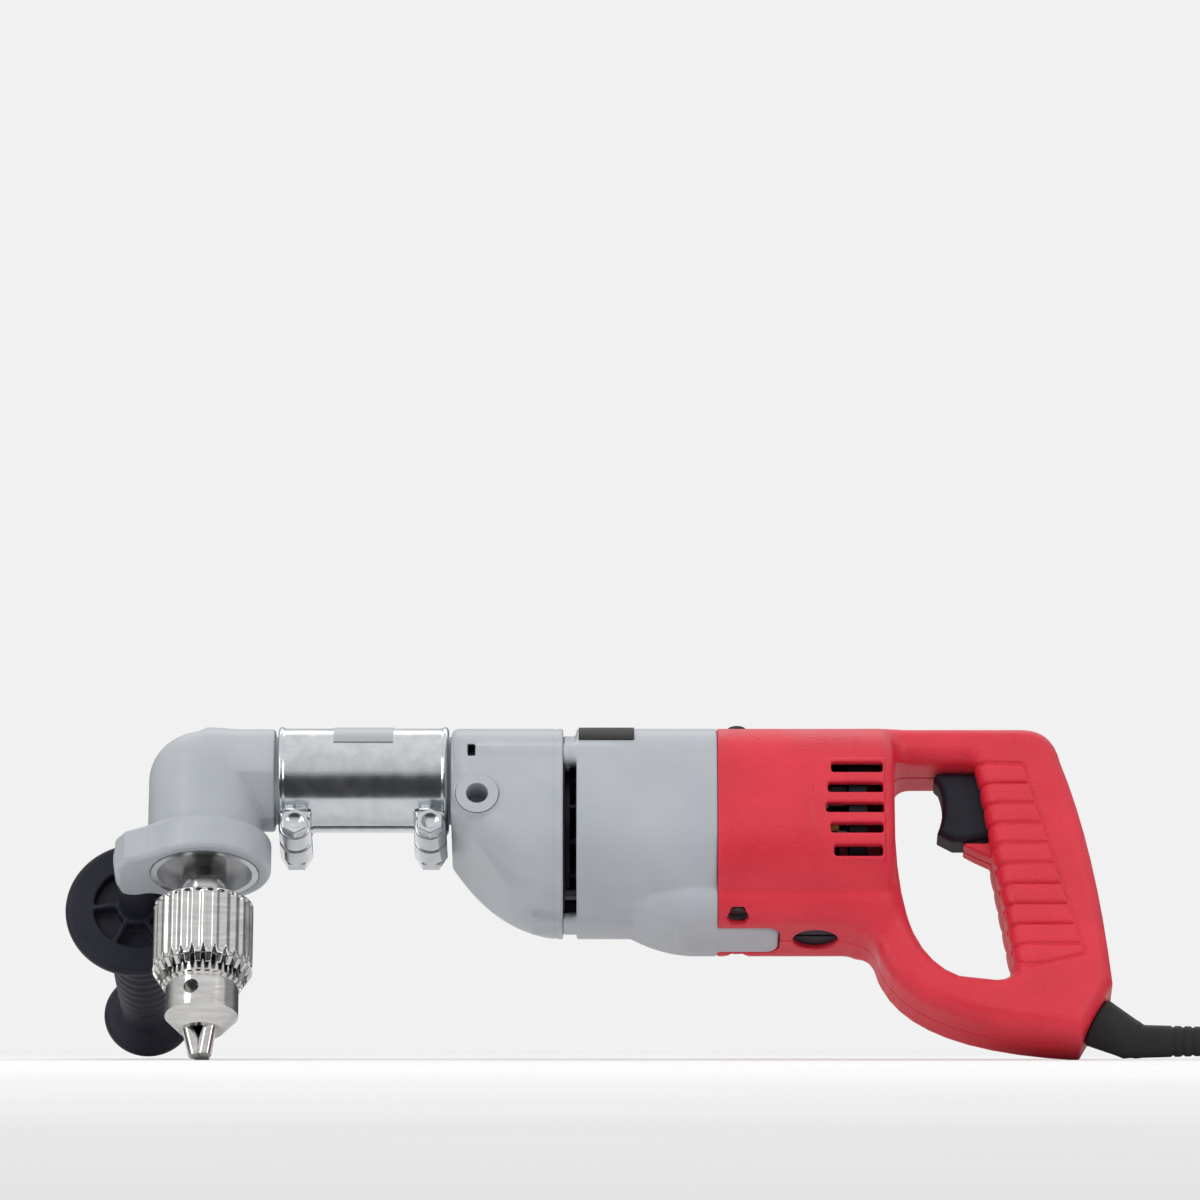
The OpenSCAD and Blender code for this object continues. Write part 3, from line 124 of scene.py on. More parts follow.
def finish(name, dark, light, metallic=0.0, rough=(0.35, 0.5), grain=0.5, relief=0.02, drift=25.0,
           stretch=(1, 1, 1), coat=0.0, specular=0.5):
    """Procedural surface: colour drifting over drift mm and relief of grain mm, in the object's own space."""
    material = bpy.data.materials.new(name)
    material.use_nodes = True
    tree = material.node_tree
    nodes, link = tree.nodes, tree.links.new
    shader = nodes["Principled BSDF"]
    shader.inputs["Metallic"].default_value = metallic
    shader.inputs["Coat Weight"].default_value = coat
    shader.inputs["Specular IOR Level"].default_value = specular
    coords = nodes.new("ShaderNodeTexCoord")
    shape = nodes.new("ShaderNodeMapping")
    shape.inputs["Scale"].default_value = stretch
    link(coords.outputs["Object"], shape.inputs["Vector"])
    broad = nodes.new("ShaderNodeTexNoise")
    broad.inputs["Scale"].default_value = 1 / (drift * MM)
    broad.inputs["Detail"].default_value = 5
    fine = nodes.new("ShaderNodeTexNoise")
    fine.inputs["Scale"].default_value = 1 / (grain * MM)
    fine.inputs["Detail"].default_value = 3
    link(shape.outputs["Vector"], broad.inputs["Vector"])
    link(shape.outputs["Vector"], fine.inputs["Vector"])
    mix = nodes.new("ShaderNodeMath")
    mix.operation = "MULTIPLY_ADD"
    mix.inputs[1].default_value = GRAIN_SHARE
    link(fine.outputs["Fac"], mix.inputs[0])
    link(broad.outputs["Fac"], mix.inputs[2])
    ramp = nodes.new("ShaderNodeValToRGB")
    for element, position, colour in zip(ramp.color_ramp.elements, COLOUR_SPAN, (dark, light)):
        element.position, element.color = position, (*colour, 1)
    link(mix.outputs["Value"], ramp.inputs["Fac"])
    link(ramp.outputs["Color"], shader.inputs["Base Color"])
    spread = nodes.new("ShaderNodeMapRange")
    spread.inputs["From Min"].default_value, spread.inputs["From Max"].default_value = ROUGH_SPAN
    spread.inputs["To Min"].default_value, spread.inputs["To Max"].default_value = rough
    link(broad.outputs["Fac"], spread.inputs["Value"])
    link(spread.outputs["Result"], shader.inputs["Roughness"])
    bump = nodes.new("ShaderNodeBump")
    bump.inputs["Distance"].default_value = relief * MM
    bump.inputs["Strength"].default_value = 1.0
    link(fine.outputs["Fac"], bump.inputs["Height"])
    link(bump.outputs["Normal"], shader.inputs["Normal"])
    return material


# %% [markdown]
# The shell is nylon with a coarse, matt grain, the castings carry a thin grey paint, the coupling is
# bright zinc, and the chuck is turned steel with marks that run round it. The colours are linear values.

# %% Finishes of the drill
RED_NYLON = finish("red_nylon", (0.58, 0.014, 0.034), (0.70, 0.022, 0.048), rough=(0.38, 0.52), grain=1.2,
                   relief=0.34, drift=30)
GREY_PAINT = finish("grey_paint", (0.36, 0.385, 0.415), (0.43, 0.455, 0.49), rough=(0.36, 0.48), grain=0.9,
                    relief=0.035, drift=35, coat=0.1)
ZINC = finish("bright_zinc", (0.54, 0.57, 0.60), (0.70, 0.72, 0.74), metallic=1.0, rough=(0.15, 0.24),
              grain=0.6, relief=0.010, drift=7)
POLISHED_STEEL = finish("turned_steel", (0.54, 0.53, 0.52), (0.70, 0.69, 0.68), metallic=1.0,
                        rough=(0.11, 0.19), grain=0.4, relief=0.003, drift=12, stretch=(1, 1, 6))
GROUND_STEEL = finish("ground_steel", (0.36, 0.36, 0.37), (0.52, 0.52, 0.53), metallic=1.0, rough=(0.3, 0.45),
                      grain=0.5, relief=0.01)
BLACK_PLASTIC = finish("black_plastic", (0.010, 0.011, 0.018), (0.018, 0.019, 0.030), rough=(0.42, 0.56),
                       grain=0.6, relief=0.04, drift=20, specular=0.22)
BLACK_RUBBER = finish("black_rubber", (0.010, 0.010, 0.011), (0.021, 0.021, 0.022), rough=(0.55, 0.7),
                      grain=0.7, relief=0.05, drift=18, specular=0.3)
BARE_CASTING = finish("bare_casting", (0.50, 0.50, 0.51), (0.62, 0.62, 0.63), metallic=1.0, rough=(0.4, 0.55),
                      grain=0.8, relief=0.05)
PLATE_FILM = finish("plate_film", (0.36, 0.37, 0.38), (0.46, 0.47, 0.48), metallic=0.7, rough=(0.34, 0.46),
                    grain=0.3, relief=0.008, stretch=(0.1, 1, 1))
COPPER = finish("enamelled_copper", (0.42, 0.14, 0.06), (0.60, 0.24, 0.11), metallic=1.0, rough=(0.3, 0.42),
                grain=0.8, relief=0.12)
BRASS = finish("pressed_brass", (0.50, 0.34, 0.11), (0.66, 0.48, 0.18), metallic=1.0, rough=(0.28, 0.4),
               grain=0.5, relief=0.01)
DARK_PLATE = finish("dark_plate", (0.008, 0.008, 0.009), (0.020, 0.020, 0.022), rough=(0.42, 0.55), grain=0.3,
                    relief=0.006, specular=0.15)
BLACK_OXIDE = finish("black_oxide", (0.030, 0.030, 0.032), (0.075, 0.075, 0.078), metallic=0.8,
                     rough=(0.34, 0.48), grain=0.4, relief=0.01)
CARBON = finish("carbon", (0.02, 0.02, 0.02), (0.05, 0.05, 0.05), rough=(0.5, 0.65), grain=0.4, relief=0.03)

# %% Finish of each node
SLOT_FINISH = {
    "red_shell": RED_NYLON, "grey_casting": GREY_PAINT, "plain_aluminium": BARE_CASTING, "zinc_plate": ZINC,
    "polished_steel": POLISHED_STEEL, "plate_film": PLATE_FILM, "copper": COPPER, "brass": BRASS,
    "black_rubber": BLACK_RUBBER, "black_plastic": BLACK_PLASTIC, "machined_steel": GROUND_STEEL,
}
OWN_FINISH = {
    "carbon_brushes": CARBON, "handle_socket": GREY_PAINT, "nameplate": DARK_PLATE,
    "gear_case_screws": BLACK_OXIDE, "handle_screws": BLACK_OXIDE, "brush_holders": BARE_CASTING,
}
for entry in frame["record"]["subparts"]:
    node = frame["nodes"][entry["node"]]
    node.data.materials.clear()
    node.data.materials.append(SLOT_FINISH[entry["material_slot"]])
for name, material in OWN_FINISH.items():
    frame["nodes"][name].data.materials[0] = material
print("finishes by slot: %d, nodes with one of their own: %d" % (len(SLOT_FINISH), len(OWN_FINISH)))

# %% [markdown]
# ## Modelling castings as volumes
# A casting is a few plain bodies with soft fillets where they meet. Booleans and bevels break on such
# meetings, so we describe each body by its distance field: negative inside, positive outside. A smooth
# minimum of two fields is a filleted union, a smooth maximum is a rounded cut, and adding a small wave
# carves grooves. The volume library then turns the zero level into a mesh. Everything is in tool
# millimetres.

# %% Sample points
FAR = 999.0


class Space:
    """A box of sample points along the tool's axes, as three arrays that broadcast together."""

    def __init__(self, lo, hi, step):
        self.lo, self.step = np.array(lo, dtype=float), step
        counts = np.ceil((np.array(hi) - self.lo) / step).astype(int) + 1
        line = [(self.lo[i] + step * np.arange(counts[i])).astype(np.float32) for i in range(3)]
        self.x = line[0][:, None, None]
        self.y = line[1][None, :, None]
        self.z = line[2][None, None, :]
        self.shape = tuple(counts)


# %% Fields of plain bodies
def corner(a, b, r=0.0):
    """Field of what lies inside both a and b, with the edge where they meet rounded by r."""
    a, b = a + r, b + r
    outside = np.sqrt(np.maximum(a, 0) ** 2 + np.maximum(b, 0) ** 2)
    return outside + np.minimum(np.maximum(a, b), 0) - r


def rod(u, v, along, r, start, end, edge=0.0):
    """Cylinder of radius r from start to end along one axis; u and v are measured from its axis."""
    return corner(np.sqrt(u * u + v * v) - r, np.maximum(start - along, along - end), edge)


def block(u, v, half_u, half_v, r):
    """Rounded rectangle, as a field across its section."""
    a, b = np.abs(u) - half_u + r, np.abs(v) - half_v + r
    return np.sqrt(np.maximum(a, 0) ** 2 + np.maximum(b, 0) ** 2) + np.minimum(np.maximum(a, b), 0) - r


COS_30 = 0.866


def hexagon(u, v, half):
    """Six-sided bar, half of its width across the flats; two flats face along u."""
    slanted = np.maximum(np.abs(0.5 * u + COS_30 * v), np.abs(0.5 * u - COS_30 * v))
    return np.maximum(np.abs(u), slanted) - half


# %% Joining and cutting
def join(a, b, fillet):
    """Union with a fillet."""
    h = np.clip(0.5 + 0.5 * (b - a) / fillet, 0, 1)
    return b * (1 - h) + a * h - fillet * h * (1 - h)


def cut(a, b, fillet):
    """a without b, with the new edge softened."""
    return -join(-a, b, fillet)


# %% Drawn outlines
def outline_field(u, v, points):
    """Distance to a closed outline in the plane, negative inside."""
    best, inside = None, False
    for (ax, ay), (bx, by) in zip(points, points[1:] + points[:1]):
        ex, ey = bx - ax, by - ay
        t = np.clip(((u - ax) * ex + (v - ay) * ey) / (ex * ex + ey * ey), 0, 1)
        d = (u - ax - t * ex) ** 2 + (v - ay - t * ey) ** 2
        best = d if best is None else np.minimum(best, d)
        crosses = (ay > v) != (by > v)
        inside = inside ^ (crosses & (u < ax + (v - ay) / (by - ay if by != ay else 1e-9) * ex))
    return np.where(inside, -1, 1) * np.sqrt(best)


def curve(a, b, c, count=8):
    """Points of a quadratic curve from a to c that leans on b."""
    def at(t):
        return tuple((1 - t) ** 2 * p + 2 * t * (1 - t) * q + t * t * r for p, q, r in zip(a, b, c))
    return [at(i / count) for i in range(count + 1)]


# %% From field to piece
BAND_STEPS = 3


def mesh_piece(name, vertices, faces, material, body, place=TOOL):
    """A smooth mesh object from tool coordinates, finished and riding on a body."""
    mesh = bpy.data.meshes.new(name)
    mesh.from_pydata([place @ Vector(v) for v in vertices], [], faces)
    mesh.validate()
    mesh.polygons.foreach_set("use_smooth", [True] * len(mesh.polygons))
    mesh.materials.append(material)
    piece = bpy.data.objects.new(name, mesh)
    bpy.context.scene.collection.objects.link(piece)
    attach(piece, body)
    return piece


def skin(name, space, field, material, body, *nodes, place=TOOL):
    """Mesh of the field's zero level, standing for the named nodes."""
    band = BAND_STEPS * space.step
    grid = openvdb.FloatGrid(band)
    values = np.clip(np.broadcast_to(field, space.shape), -band, band)
    grid.copyFromArray(np.ascontiguousarray(values, dtype=np.float32))
    points, quads = grid.convertToQuads(0.0)
    points = points * space.step + space.lo
    a, b, c = points[quads[:, 0]], points[quads[:, 1]], points[quads[:, 2]]
    if np.einsum("ij,ij->i", np.cross(b - a, c - a), a - points.mean(axis=0)).sum() < 0:
        quads = quads[:, ::-1]
    piece = mesh_piece(name, points.tolist(), quads.tolist(), material, body, place=place)
    if nodes:
        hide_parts(*nodes)
    print("%s: %d faces" % (name, len(quads)))
    return piece


# %% [markdown]
# ## The mains lead
# The lead leaves the boot at the rear of the handle, drops the last millimetres to the table and runs out
# of the picture. The rest of its length is put away as a neat flat coil in two layers, held by a tie, with
# the plug beside it. A curve with a round bevel is the natural way to make it: the route's points are
# exactly those of the solid lead, so the visible one lies where the solid one does.

# %% Route of the lead
CORD_R = 4.5
EXIT_HEIGHT = 8.3
lead_lo, lead_hi = (Vector(v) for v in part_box("cord"))
lead_y = (lead_lo.y + lead_hi.y) / 2
exit_point = Vector((lead_lo.x, lead_y, EXIT_HEIGHT * MM))
COIL_X = 400.0
COIL_TURNS, COIL_R, COIL_LAY, COIL_LOW = 3, 54.0, 10.6, 6.1
COIL_IN = COIL_R - COIL_TURNS * COIL_LAY / 2
COIL_OUT = COIL_R + COIL_TURNS * COIL_LAY / 2
coil_start = Vector((COIL_X * MM, lead_y, COIL_LOW * MM))
coil_centre = coil_start + Vector((0, COIL_OUT * MM, 0))


def coil_point(turn):
    """Point of the coil after so many turns: in along the table, up one layer, and out again on top."""
    up = min(1, max(0, 2 * (turn - COIL_TURNS)))
    radius = COIL_OUT - COIL_LAY * turn
    if turn >= COIL_TURNS:
        radius = COIL_IN + COIL_LAY * max(0, turn - COIL_TURNS - 0.5)
    angle = math.radians(360 * turn - 90)
    return coil_centre + MM * Vector((radius * math.cos(angle), radius * math.sin(angle), COIL_LAY * up))


drop = [(10, 8.3), (22.767, 8.0), (42.767, 7.4), (62.767, 6.8), (82.767, 6.3), (107.767, 6.1)]
route = [exit_point] + [Vector((exit_point.x + a * MM, lead_y, b * MM)) for a, b in drop]
STRAIGHT = 9
route += [coil_start - Vector((back * MM, 0, 0)) for back in (STRAIGHT + 10, STRAIGHT)]
LOOP_POINTS = 24
coil_steps = int((2 * COIL_TURNS + 0.5) * LOOP_POINTS)
route += [coil_point(i / LOOP_POINTS) for i in range(coil_steps + 1)]
coil_end = route[-1]
tail = [(9, 0), (17, 0), (30, 3.7), (42, 6.7), (51, 8.4), (60, 8.4)]
route += [coil_end - Vector((a * MM, 0, b * MM)) for a, b in tail]


# %% The lead as a curve
def lead_curve(name, points, radius, material):
    """Open round curve through the points."""
    data = bpy.data.curves.new(name, "CURVE")
    data.dimensions = "3D"
    data.bevel_depth, data.bevel_resolution = radius, 6
    data.use_fill_caps = True
    spline = data.splines.new("POLY")
    spline.points.add(len(points) - 1)
    for target, p in zip(spline.points, points):
        target.co = (*p, 1)
    spline.use_smooth = True
    data.materials.append(material)
    piece = bpy.data.objects.new(name, data)
    bpy.context.scene.collection.objects.link(piece)
    return piece


lead = lead_curve("mains_lead", route, CORD_R * MM, BLACK_RUBBER)
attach(lead, "housing")
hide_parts("cord", "cord_coil", "cord_end")

# %% [markdown]
# ## Plug and tie
# A moulded plug is a soft block that narrows to the lead, with finger ribs on its flanks and two flat
# blades. The tie is one strap round the coil. Both are volumes too, drawn in the world's own axes because
# they lie on the table.

# %% Plug and blades
WORLD = Matrix.Scale(MM, 4)
plug_back = coil_end.x / MM - tail[-1][0]
plug_y, plug_z = coil_end.y / MM, 8.3
PLUG_LEN, PLUG_HALF_W, PLUG_HALF_H = 34.0, 12.0, 8.0
NARROW_LEN, NARROW_DEPTH = 14.0, 4.5
RIB_DEPTH, RIB_PITCH = 0.55, 3.6
BLADE_Y, BLADE_HALF_T, BLADE_HALF_W, BLADE_LEN = 6.35, 0.75, 3.2, 16.0
BLADE_HOLE_R, BLADE_HOLE_AT = 1.6, 12.0


def table_skin(name, space, field, material, *nodes):
    """Like skin, for pieces drawn in world millimetres that belong to the lead."""
    return skin(name, space, field, material, "housing", *nodes, place=WORLD)


s = Space((plug_back - 52, plug_y - 14, 0), (plug_back + 3, plug_y + 14, 18), 0.5)
along = s.x - plug_back
narrow = np.clip((along + NARROW_LEN) / NARROW_LEN, 0, 1)
ribbed = (along > -28) & (along < -10)
rib_wave = RIB_DEPTH * np.maximum(0, np.cos(along * 2 * math.pi / RIB_PITCH)) * ribbed
body = block(s.y - plug_y, s.z - plug_z, PLUG_HALF_W, PLUG_HALF_H, 4) + NARROW_DEPTH * narrow ** 2
body = body + rib_wave * (np.abs(s.y - plug_y) > 8)
plug_field = corner(body, np.maximum(along, -PLUG_LEN - along), 1.5)
plug_piece = table_skin("plug_body", s, plug_field, BLACK_RUBBER)
blades = []
for side in (-1, 1):
    pin = block(s.y - plug_y - side * BLADE_Y, s.z - plug_z, BLADE_HALF_T, BLADE_HALF_W, 0.3)
    pin = corner(pin, np.maximum(along + PLUG_LEN - 1, -PLUG_LEN - BLADE_LEN - along), 0.4)
    hole = rod(along + PLUG_LEN + BLADE_HOLE_AT, s.z - plug_z, s.y, BLADE_HOLE_R, -FAR, FAR)
    blades.append(cut(pin, hole, 0.2))
blade_piece = table_skin("plug_blades", s, np.minimum(*blades), BRASS)
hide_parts("plug")

# %% Tie round the coil
WEAVE_DEPTH, WEAVE_PITCH = 0.1, 1.6
STRAP_HALF = 0.5
tie_lo, tie_hi = (np.array(v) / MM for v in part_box("cord_tie"))
middle, half = (tie_lo + tie_hi) / 2, (tie_hi - tie_lo) / 2
s = Space(tie_lo - 1, tie_hi + 1, 0.5)
loop = block(s.x - middle[0], s.z - middle[2], half[0], half[2], 5)
weave = WEAVE_DEPTH + WEAVE_DEPTH * np.cos(s.y * 2 * math.pi / WEAVE_PITCH)
strap = np.abs(loop + STRAP_HALF) - STRAP_HALF + weave
tie_field = corner(strap, np.abs(s.y - middle[1]) - half[1], 0.3)
tie = table_skin("coil_tie", s, tie_field, BLACK_PLASTIC, "cord_tie")

# %% [markdown]
# ## Angle head
# The head is one painted die casting: an upright barrel with a domed top, a level neck, a flange that holds
# the lower bearing, and a lobe in front whose blind bore takes the side handle's stud. Barrel and neck meet
# almost sharply below and softly above, so that fillet grows with the height, and a flat is cut along each
# lower flank of the neck. The bores stay open, because the ring and the spindle show from below.

# %% Head casting
HEAD_R, HEAD_TOP, DOME_R = 26.0, 20.3, 21
FLANGE_LOW, FLANGE_TOP, FLANGE_R = -47.0, -30.5, 30.0
NECK_R, NECK_END = 23.4, 31.5
FLAT_Y, FLAT_Z, FLAT_OUT = 0.72, 0.69, 20.6
BOSS_X, BOSS_Z, BOSS_R, BOSS_HALF = -33.0, -38.75, 8.0, 22.0
LOBE_HALF_H = 8.25
LOBE_PLAN = [(0, -25), (-24, -20), (-36, -13), (-40.5, -5), (-40.5, 14), (-38, 21.5), (-26, 22), (0, 25)]
HEAD_END = tool_box("angle_head_case")[1][0]
s = Space((-43, -32, -49), (HEAD_END + 1, 32, 26), 0.65)
barrel = rod(s.x, s.y, s.z, HEAD_R, -FAR, HEAD_TOP, DOME_R)
neck = rod(s.y, s.z, s.x, NECK_R, 0, NECK_END, 1.2)
neck = np.maximum(neck, FLAT_Y * np.abs(s.y) - FLAT_Z * s.z - FLAT_OUT)
head = join(barrel, neck, 0.5 + 5 * np.clip(s.z / 12, 0, 1))
flange = rod(s.x, s.y, s.z, FLANGE_R, FLANGE_LOW, FLANGE_TOP, 2.5)
lobe = corner(outline_field(s.x, s.y, LOBE_PLAN), np.abs(s.z - BOSS_Z) - LOBE_HALF_H, 3)
boss = rod(s.x - BOSS_X, s.z - BOSS_Z, s.y, BOSS_R, 0, BOSS_HALF, 0.8)
head = join(head, join(flange, join(lobe, boss, 3), 2.5), 2.5)
head = np.maximum(head, FLANGE_LOW - s.z)
spigot = rod(s.y, s.z, s.x, 19.9, 20, HEAD_END, 1)
head = np.minimum(head, spigot)
bores = {
    "retainer ring": rod(s.x, s.y, s.z, 24.35, -FAR, -41.4),
    "lower bearing": rod(s.x, s.y, s.z, 23.05, -FAR, -28.9),
    "driven gear": rod(s.x, s.y, s.z, 21.5, -FAR, 5, 4),
    "upper bearing": rod(s.x, s.y, s.z, 12.05, 0, 16.2),
    "pinion bearings": rod(s.y, s.z, s.x, 14.05, 0, FAR),
    "stud": rod(s.x - BOSS_X, s.z - BOSS_Z, s.y, 5.1, -6.2, FAR),
}
for bore in bores.values():
    head = cut(head, bore, 0.4)
head_piece = skin("head_casting", s, head, GREY_PAINT, "head", "angle_head_case")

# %% [markdown]
# ## Chuck sleeve
# The outer sleeve of a keyed chuck is fluted for the hand and ends in a ring of teeth for the key. The
# flutes are a wave in the radius that dies out before the toothed rim, so one field gives flutes, rim and
# teeth at once.

# %% Fluted and toothed sleeve
SLEEVE_TOP, SLEEVE_LOW, CHUCK_R = -63.0, -104.0, 22.5
RIM_TOP = -95.5
FLUTES, FLUTE_DEPTH = 27, 0.95
TEETH, TOOTH_DEPTH = 27, 2.7
BEVEL_RISE, BEVEL_LEN = 0.62, 1.18
BORE_R, BORE_LOW, CAVITY_R = 16.9, -99, 19.9
s = Space((-24, -24, SLEEVE_LOW - 1), (24, 24, SLEEVE_TOP + 1), 0.32)
angle = np.arctan2(s.y, s.x)
radius = np.sqrt(s.x ** 2 + s.y ** 2)
fluted = np.clip((s.z - RIM_TOP - 1) / 1.5, 0, 1) * np.clip((SLEEVE_TOP - 0.8 - s.z) / 1.2, 0, 1)
flute = FLUTE_DEPTH * (0.5 + 0.5 * np.cos(angle * FLUTES)) * fluted
bevel = (radius - CHUCK_R + BEVEL_RISE * (RIM_TOP - s.z)) / BEVEL_LEN
tooth = TOOTH_DEPTH * np.clip(-0.1 - 0.95 * np.cos(angle * TEETH), 0, 1)
drum = np.maximum(radius - CHUCK_R + flute, bevel + tooth)
sleeve = corner(drum, np.maximum(SLEEVE_LOW - s.z, s.z - SLEEVE_TOP), 0.9)
sleeve = cut(sleeve, corner(radius - BORE_R, BORE_LOW - s.z), 0.4)
sleeve = cut(sleeve, rod(s.x, s.y, s.z, CAVITY_R, SLEEVE_LOW + 2, SLEEVE_TOP - 3.5), 0.3)
sleeve_piece = skin("chuck_sleeve_fluted", s, sleeve, POLISHED_STEEL, "chuck_ring", "chuck_sleeve")

# %% [markdown]
# ## Side handle
# A moulded grip with a hand guard near the head and a bead at its far end. The guard is hollow on the
# head's side, with six ribs between hub and rim, which is how a thick disc is moulded without sinking. All
# of it turns about one axis, so every part is a rod along Y, joined with generous fillets.

# %% Side handle
GUARD_R, GUARD_Y, GUARD_T = 33.0, 52.0, 7.0
GRIP_R, BEAD_R, BEAD_T, GRIP_END = 13.3, 21.0, 7.0, 175.0
GRIP_MID, SWELL, SWELL_HALF = 112, 0.55, 48
RIDGE, RIDGE_PITCH = 0.35, 7
GUARD_RIBS, GUARD_RIB_HALF, HOLLOW_R = 6, 1.1, 19.8
lowest = (BOSS_X - GUARD_R - 1, BOSS_HALF - 1, BOSS_Z - GUARD_R - 1)
highest = (BOSS_X + GUARD_R + 1, GRIP_END + 1, BOSS_Z + GUARD_R + 1)
s = Space(lowest, highest, 0.75)
u, v = s.x - BOSS_X, s.z - BOSS_Z
reach, turn = np.sqrt(u * u + v * v), np.arctan2(v, u)
swell = SWELL * np.cos((s.y - GRIP_MID) / SWELL_HALF * math.pi)
ridge = RIDGE * np.cos((s.y - GRIP_MID) * 2 * math.pi / RIDGE_PITCH) * ((s.y > 76) & (s.y < 150))
grip = corner(reach - GRIP_R - swell + ridge, np.maximum(GUARD_Y - s.y, s.y - GRIP_END + 2))
guard = rod(u, v, s.y, GUARD_R, GUARD_Y, GUARD_Y + GUARD_T, 3.2)
bead = rod(u, v, s.y, BEAD_R, GRIP_END - BEAD_T, GRIP_END, 3.2)
handle = join(join(guard, grip, 10), bead, 8)
hub = rod(u, v, s.y, BOSS_R, BOSS_HALF, GUARD_Y + 4, 0.6)
sector = 2 * math.pi / GUARD_RIBS
from_rib = reach * np.abs(np.sin(turn - np.round(turn / sector) * sector)) - GUARD_RIB_HALF
ring_room = corner(reach - HOLLOW_R, BOSS_R + 1.2 - reach, 1)
hollow = corner(ring_room, np.maximum(-from_rib, s.y - GUARD_Y - 4.5), 1)
handle = np.minimum(cut(handle, hollow, 0.6), hub)
handle = cut(handle, rod(u, v, s.y, 5.05, 0, 70), 0.2)
handle_piece = skin("side_handle", s, handle, BLACK_PLASTIC, "head", "side_handle_grip")

# %% [markdown]
# ## Coupling sleeve
# A zinc plated split tube that clamps head and gear case in line, so that the head can be turned to any
# side. Two lugs under it take the hex bolts, and a cheek carries each lug up into the tube. A rolled bead
# closes each end.

# %% Coupling sleeve
TUBE_R, TUBE_BORE = 23.7, 20.02
TUBE_X, TUBE_END = 33.0, 110.0
LUG_XS, LUG_R, LUG_Z, LUG_HALF = (41.0, 102.0), 7.0, -29.2, 13.5
ROLL_R, ROLL_INSET = 1.3, 1.6
SPLIT_HALF, BOLT_HOLE_R = 1.2, 3.7
s = Space((TUBE_X - 1, -27, LUG_Z - LUG_R - 1), (TUBE_END + 1, 27, TUBE_R + 2), 0.6)
tube = rod(s.y, s.z, s.x, TUBE_R, TUBE_X, TUBE_END, 0.8)
from_roll = np.sqrt(s.y ** 2 + s.z ** 2) - TUBE_R + 0.5
for x in (TUBE_X + ROLL_INSET, TUBE_END - ROLL_INSET):
    tube = join(tube, np.sqrt(from_roll ** 2 + (s.x - x) ** 2) - ROLL_R, 0.5)
for x in LUG_XS:
    lug = rod(s.x - x, s.z - LUG_Z, s.y, LUG_R, -LUG_HALF, LUG_HALF, 0.7)
    cheek = corner(block(s.x - x, s.z - LUG_Z - 4, LUG_R, 6, 1), np.abs(s.y) - LUG_HALF + 1.5, 1)
    tube = join(tube, join(lug, cheek, 1.5), 1.5)
tube = cut(tube, rod(s.y, s.z, s.x, TUBE_BORE, 0, FAR), 0.3)
tube = cut(tube, np.maximum(np.abs(s.y) - SPLIT_HALF, s.z + 15), 0.4)
for x in LUG_XS:
    tube = cut(tube, rod(s.x - x, s.z - LUG_Z, s.y, BOLT_HOLE_R, -FAR, FAR), 0.2)
tube_piece = skin("sleeve_tube", s, tube, ZINC, "housing", "coupling_sleeve")

# %% [markdown]
# ## Clamp bolts
# Each lug is drawn shut by a hex bolt. Its head is chamfered round the outside, dished in the middle and
# stands on a washer, and the end of the shank that comes out of the lug is threaded. The size of the head
# is measured on the solid bolts.

# %% Clamp bolts
BOLT_LO, BOLT_HI = tool_box("clamp_bolts")
HEX_HALF = (BOLT_HI[2] - BOLT_LO[2]) / 2 * COS_30
HEAD_Y = float(BOLT_LO[1])
WASHER_T, BOLT_R = 1.1, 3.5
DISH_R, DISH_OUT = 6.6, 5.2
THREAD_DEPTH, THREAD_PITCH = 0.22, 1.25
s = Space((TUBE_X - 2, HEAD_Y - 1, LUG_Z - 9), (TUBE_END + 2, BOLT_HI[1] + 1, LUG_Z + 9), 0.4)
thread = THREAD_DEPTH * np.abs((s.y % THREAD_PITCH) / THREAD_PITCH - 0.5) * (s.y > LUG_HALF)
bolts = FAR
for x in LUG_XS:
    u, v, out = s.x - x, s.z - LUG_Z, s.y - HEAD_Y
    chamfer = (np.sqrt(u * u + v * v) - HEX_HALF - 0.3 - 1.7 * out) * 0.5
    bolt = np.maximum(hexagon(u, v, HEX_HALF), chamfer)
    bolt = corner(bolt, np.maximum(-out, s.y + LUG_HALF), 0.35)
    bolt = cut(bolt, np.sqrt(u * u + v * v + (out + DISH_OUT) ** 2) - DISH_R, 0.4)
    bolt = np.minimum(bolt, rod(u, v, s.y, HEX_HALF + 0.4, -LUG_HALF - WASHER_T, -LUG_HALF, 0.3))
    shank = rod(u, v, s.y, BOLT_R, -LUG_HALF - 0.5, BOLT_HI[1], 0.5) + thread
    bolts = np.minimum(bolts, np.minimum(bolt, shank))
bolt_piece = skin("clamp_bolt_set", s, bolts, ZINC, "housing", "clamp_bolts")

# %% [markdown]
# ## Gear case and motor housing
# Both are painted castings with the same rounded section, and the section is rounder below than above. The
# case rounds off towards the front and carries a threaded socket for the side handle. Long screw bosses
# swell out of the corners: they cross the open vent gap between the two castings and fade into the motor
# housing.

# %% The shared section
BODY_HALF, BODY_HALF_H, TOP_CORNER, LOW_CORNER = 42.0, 45.0, 30.0, 34.0
OVERLAP = 15


def section(s, grow=0.0, drop=0.0):
    """Rounded body section across the motor axis: grow moves it outwards, drop lowers its floor."""
    v = s.z - MOTOR_Z
    half_h = BODY_HALF_H + OVERLAP
    top = block(s.y, v + OVERLAP, BODY_HALF + grow, half_h + grow, TOP_CORNER + grow)
    low = block(s.y, v - OVERLAP + drop / 2, BODY_HALF + grow, half_h + drop / 2 + grow, LOW_CORNER + grow)
    return np.maximum(top, low)


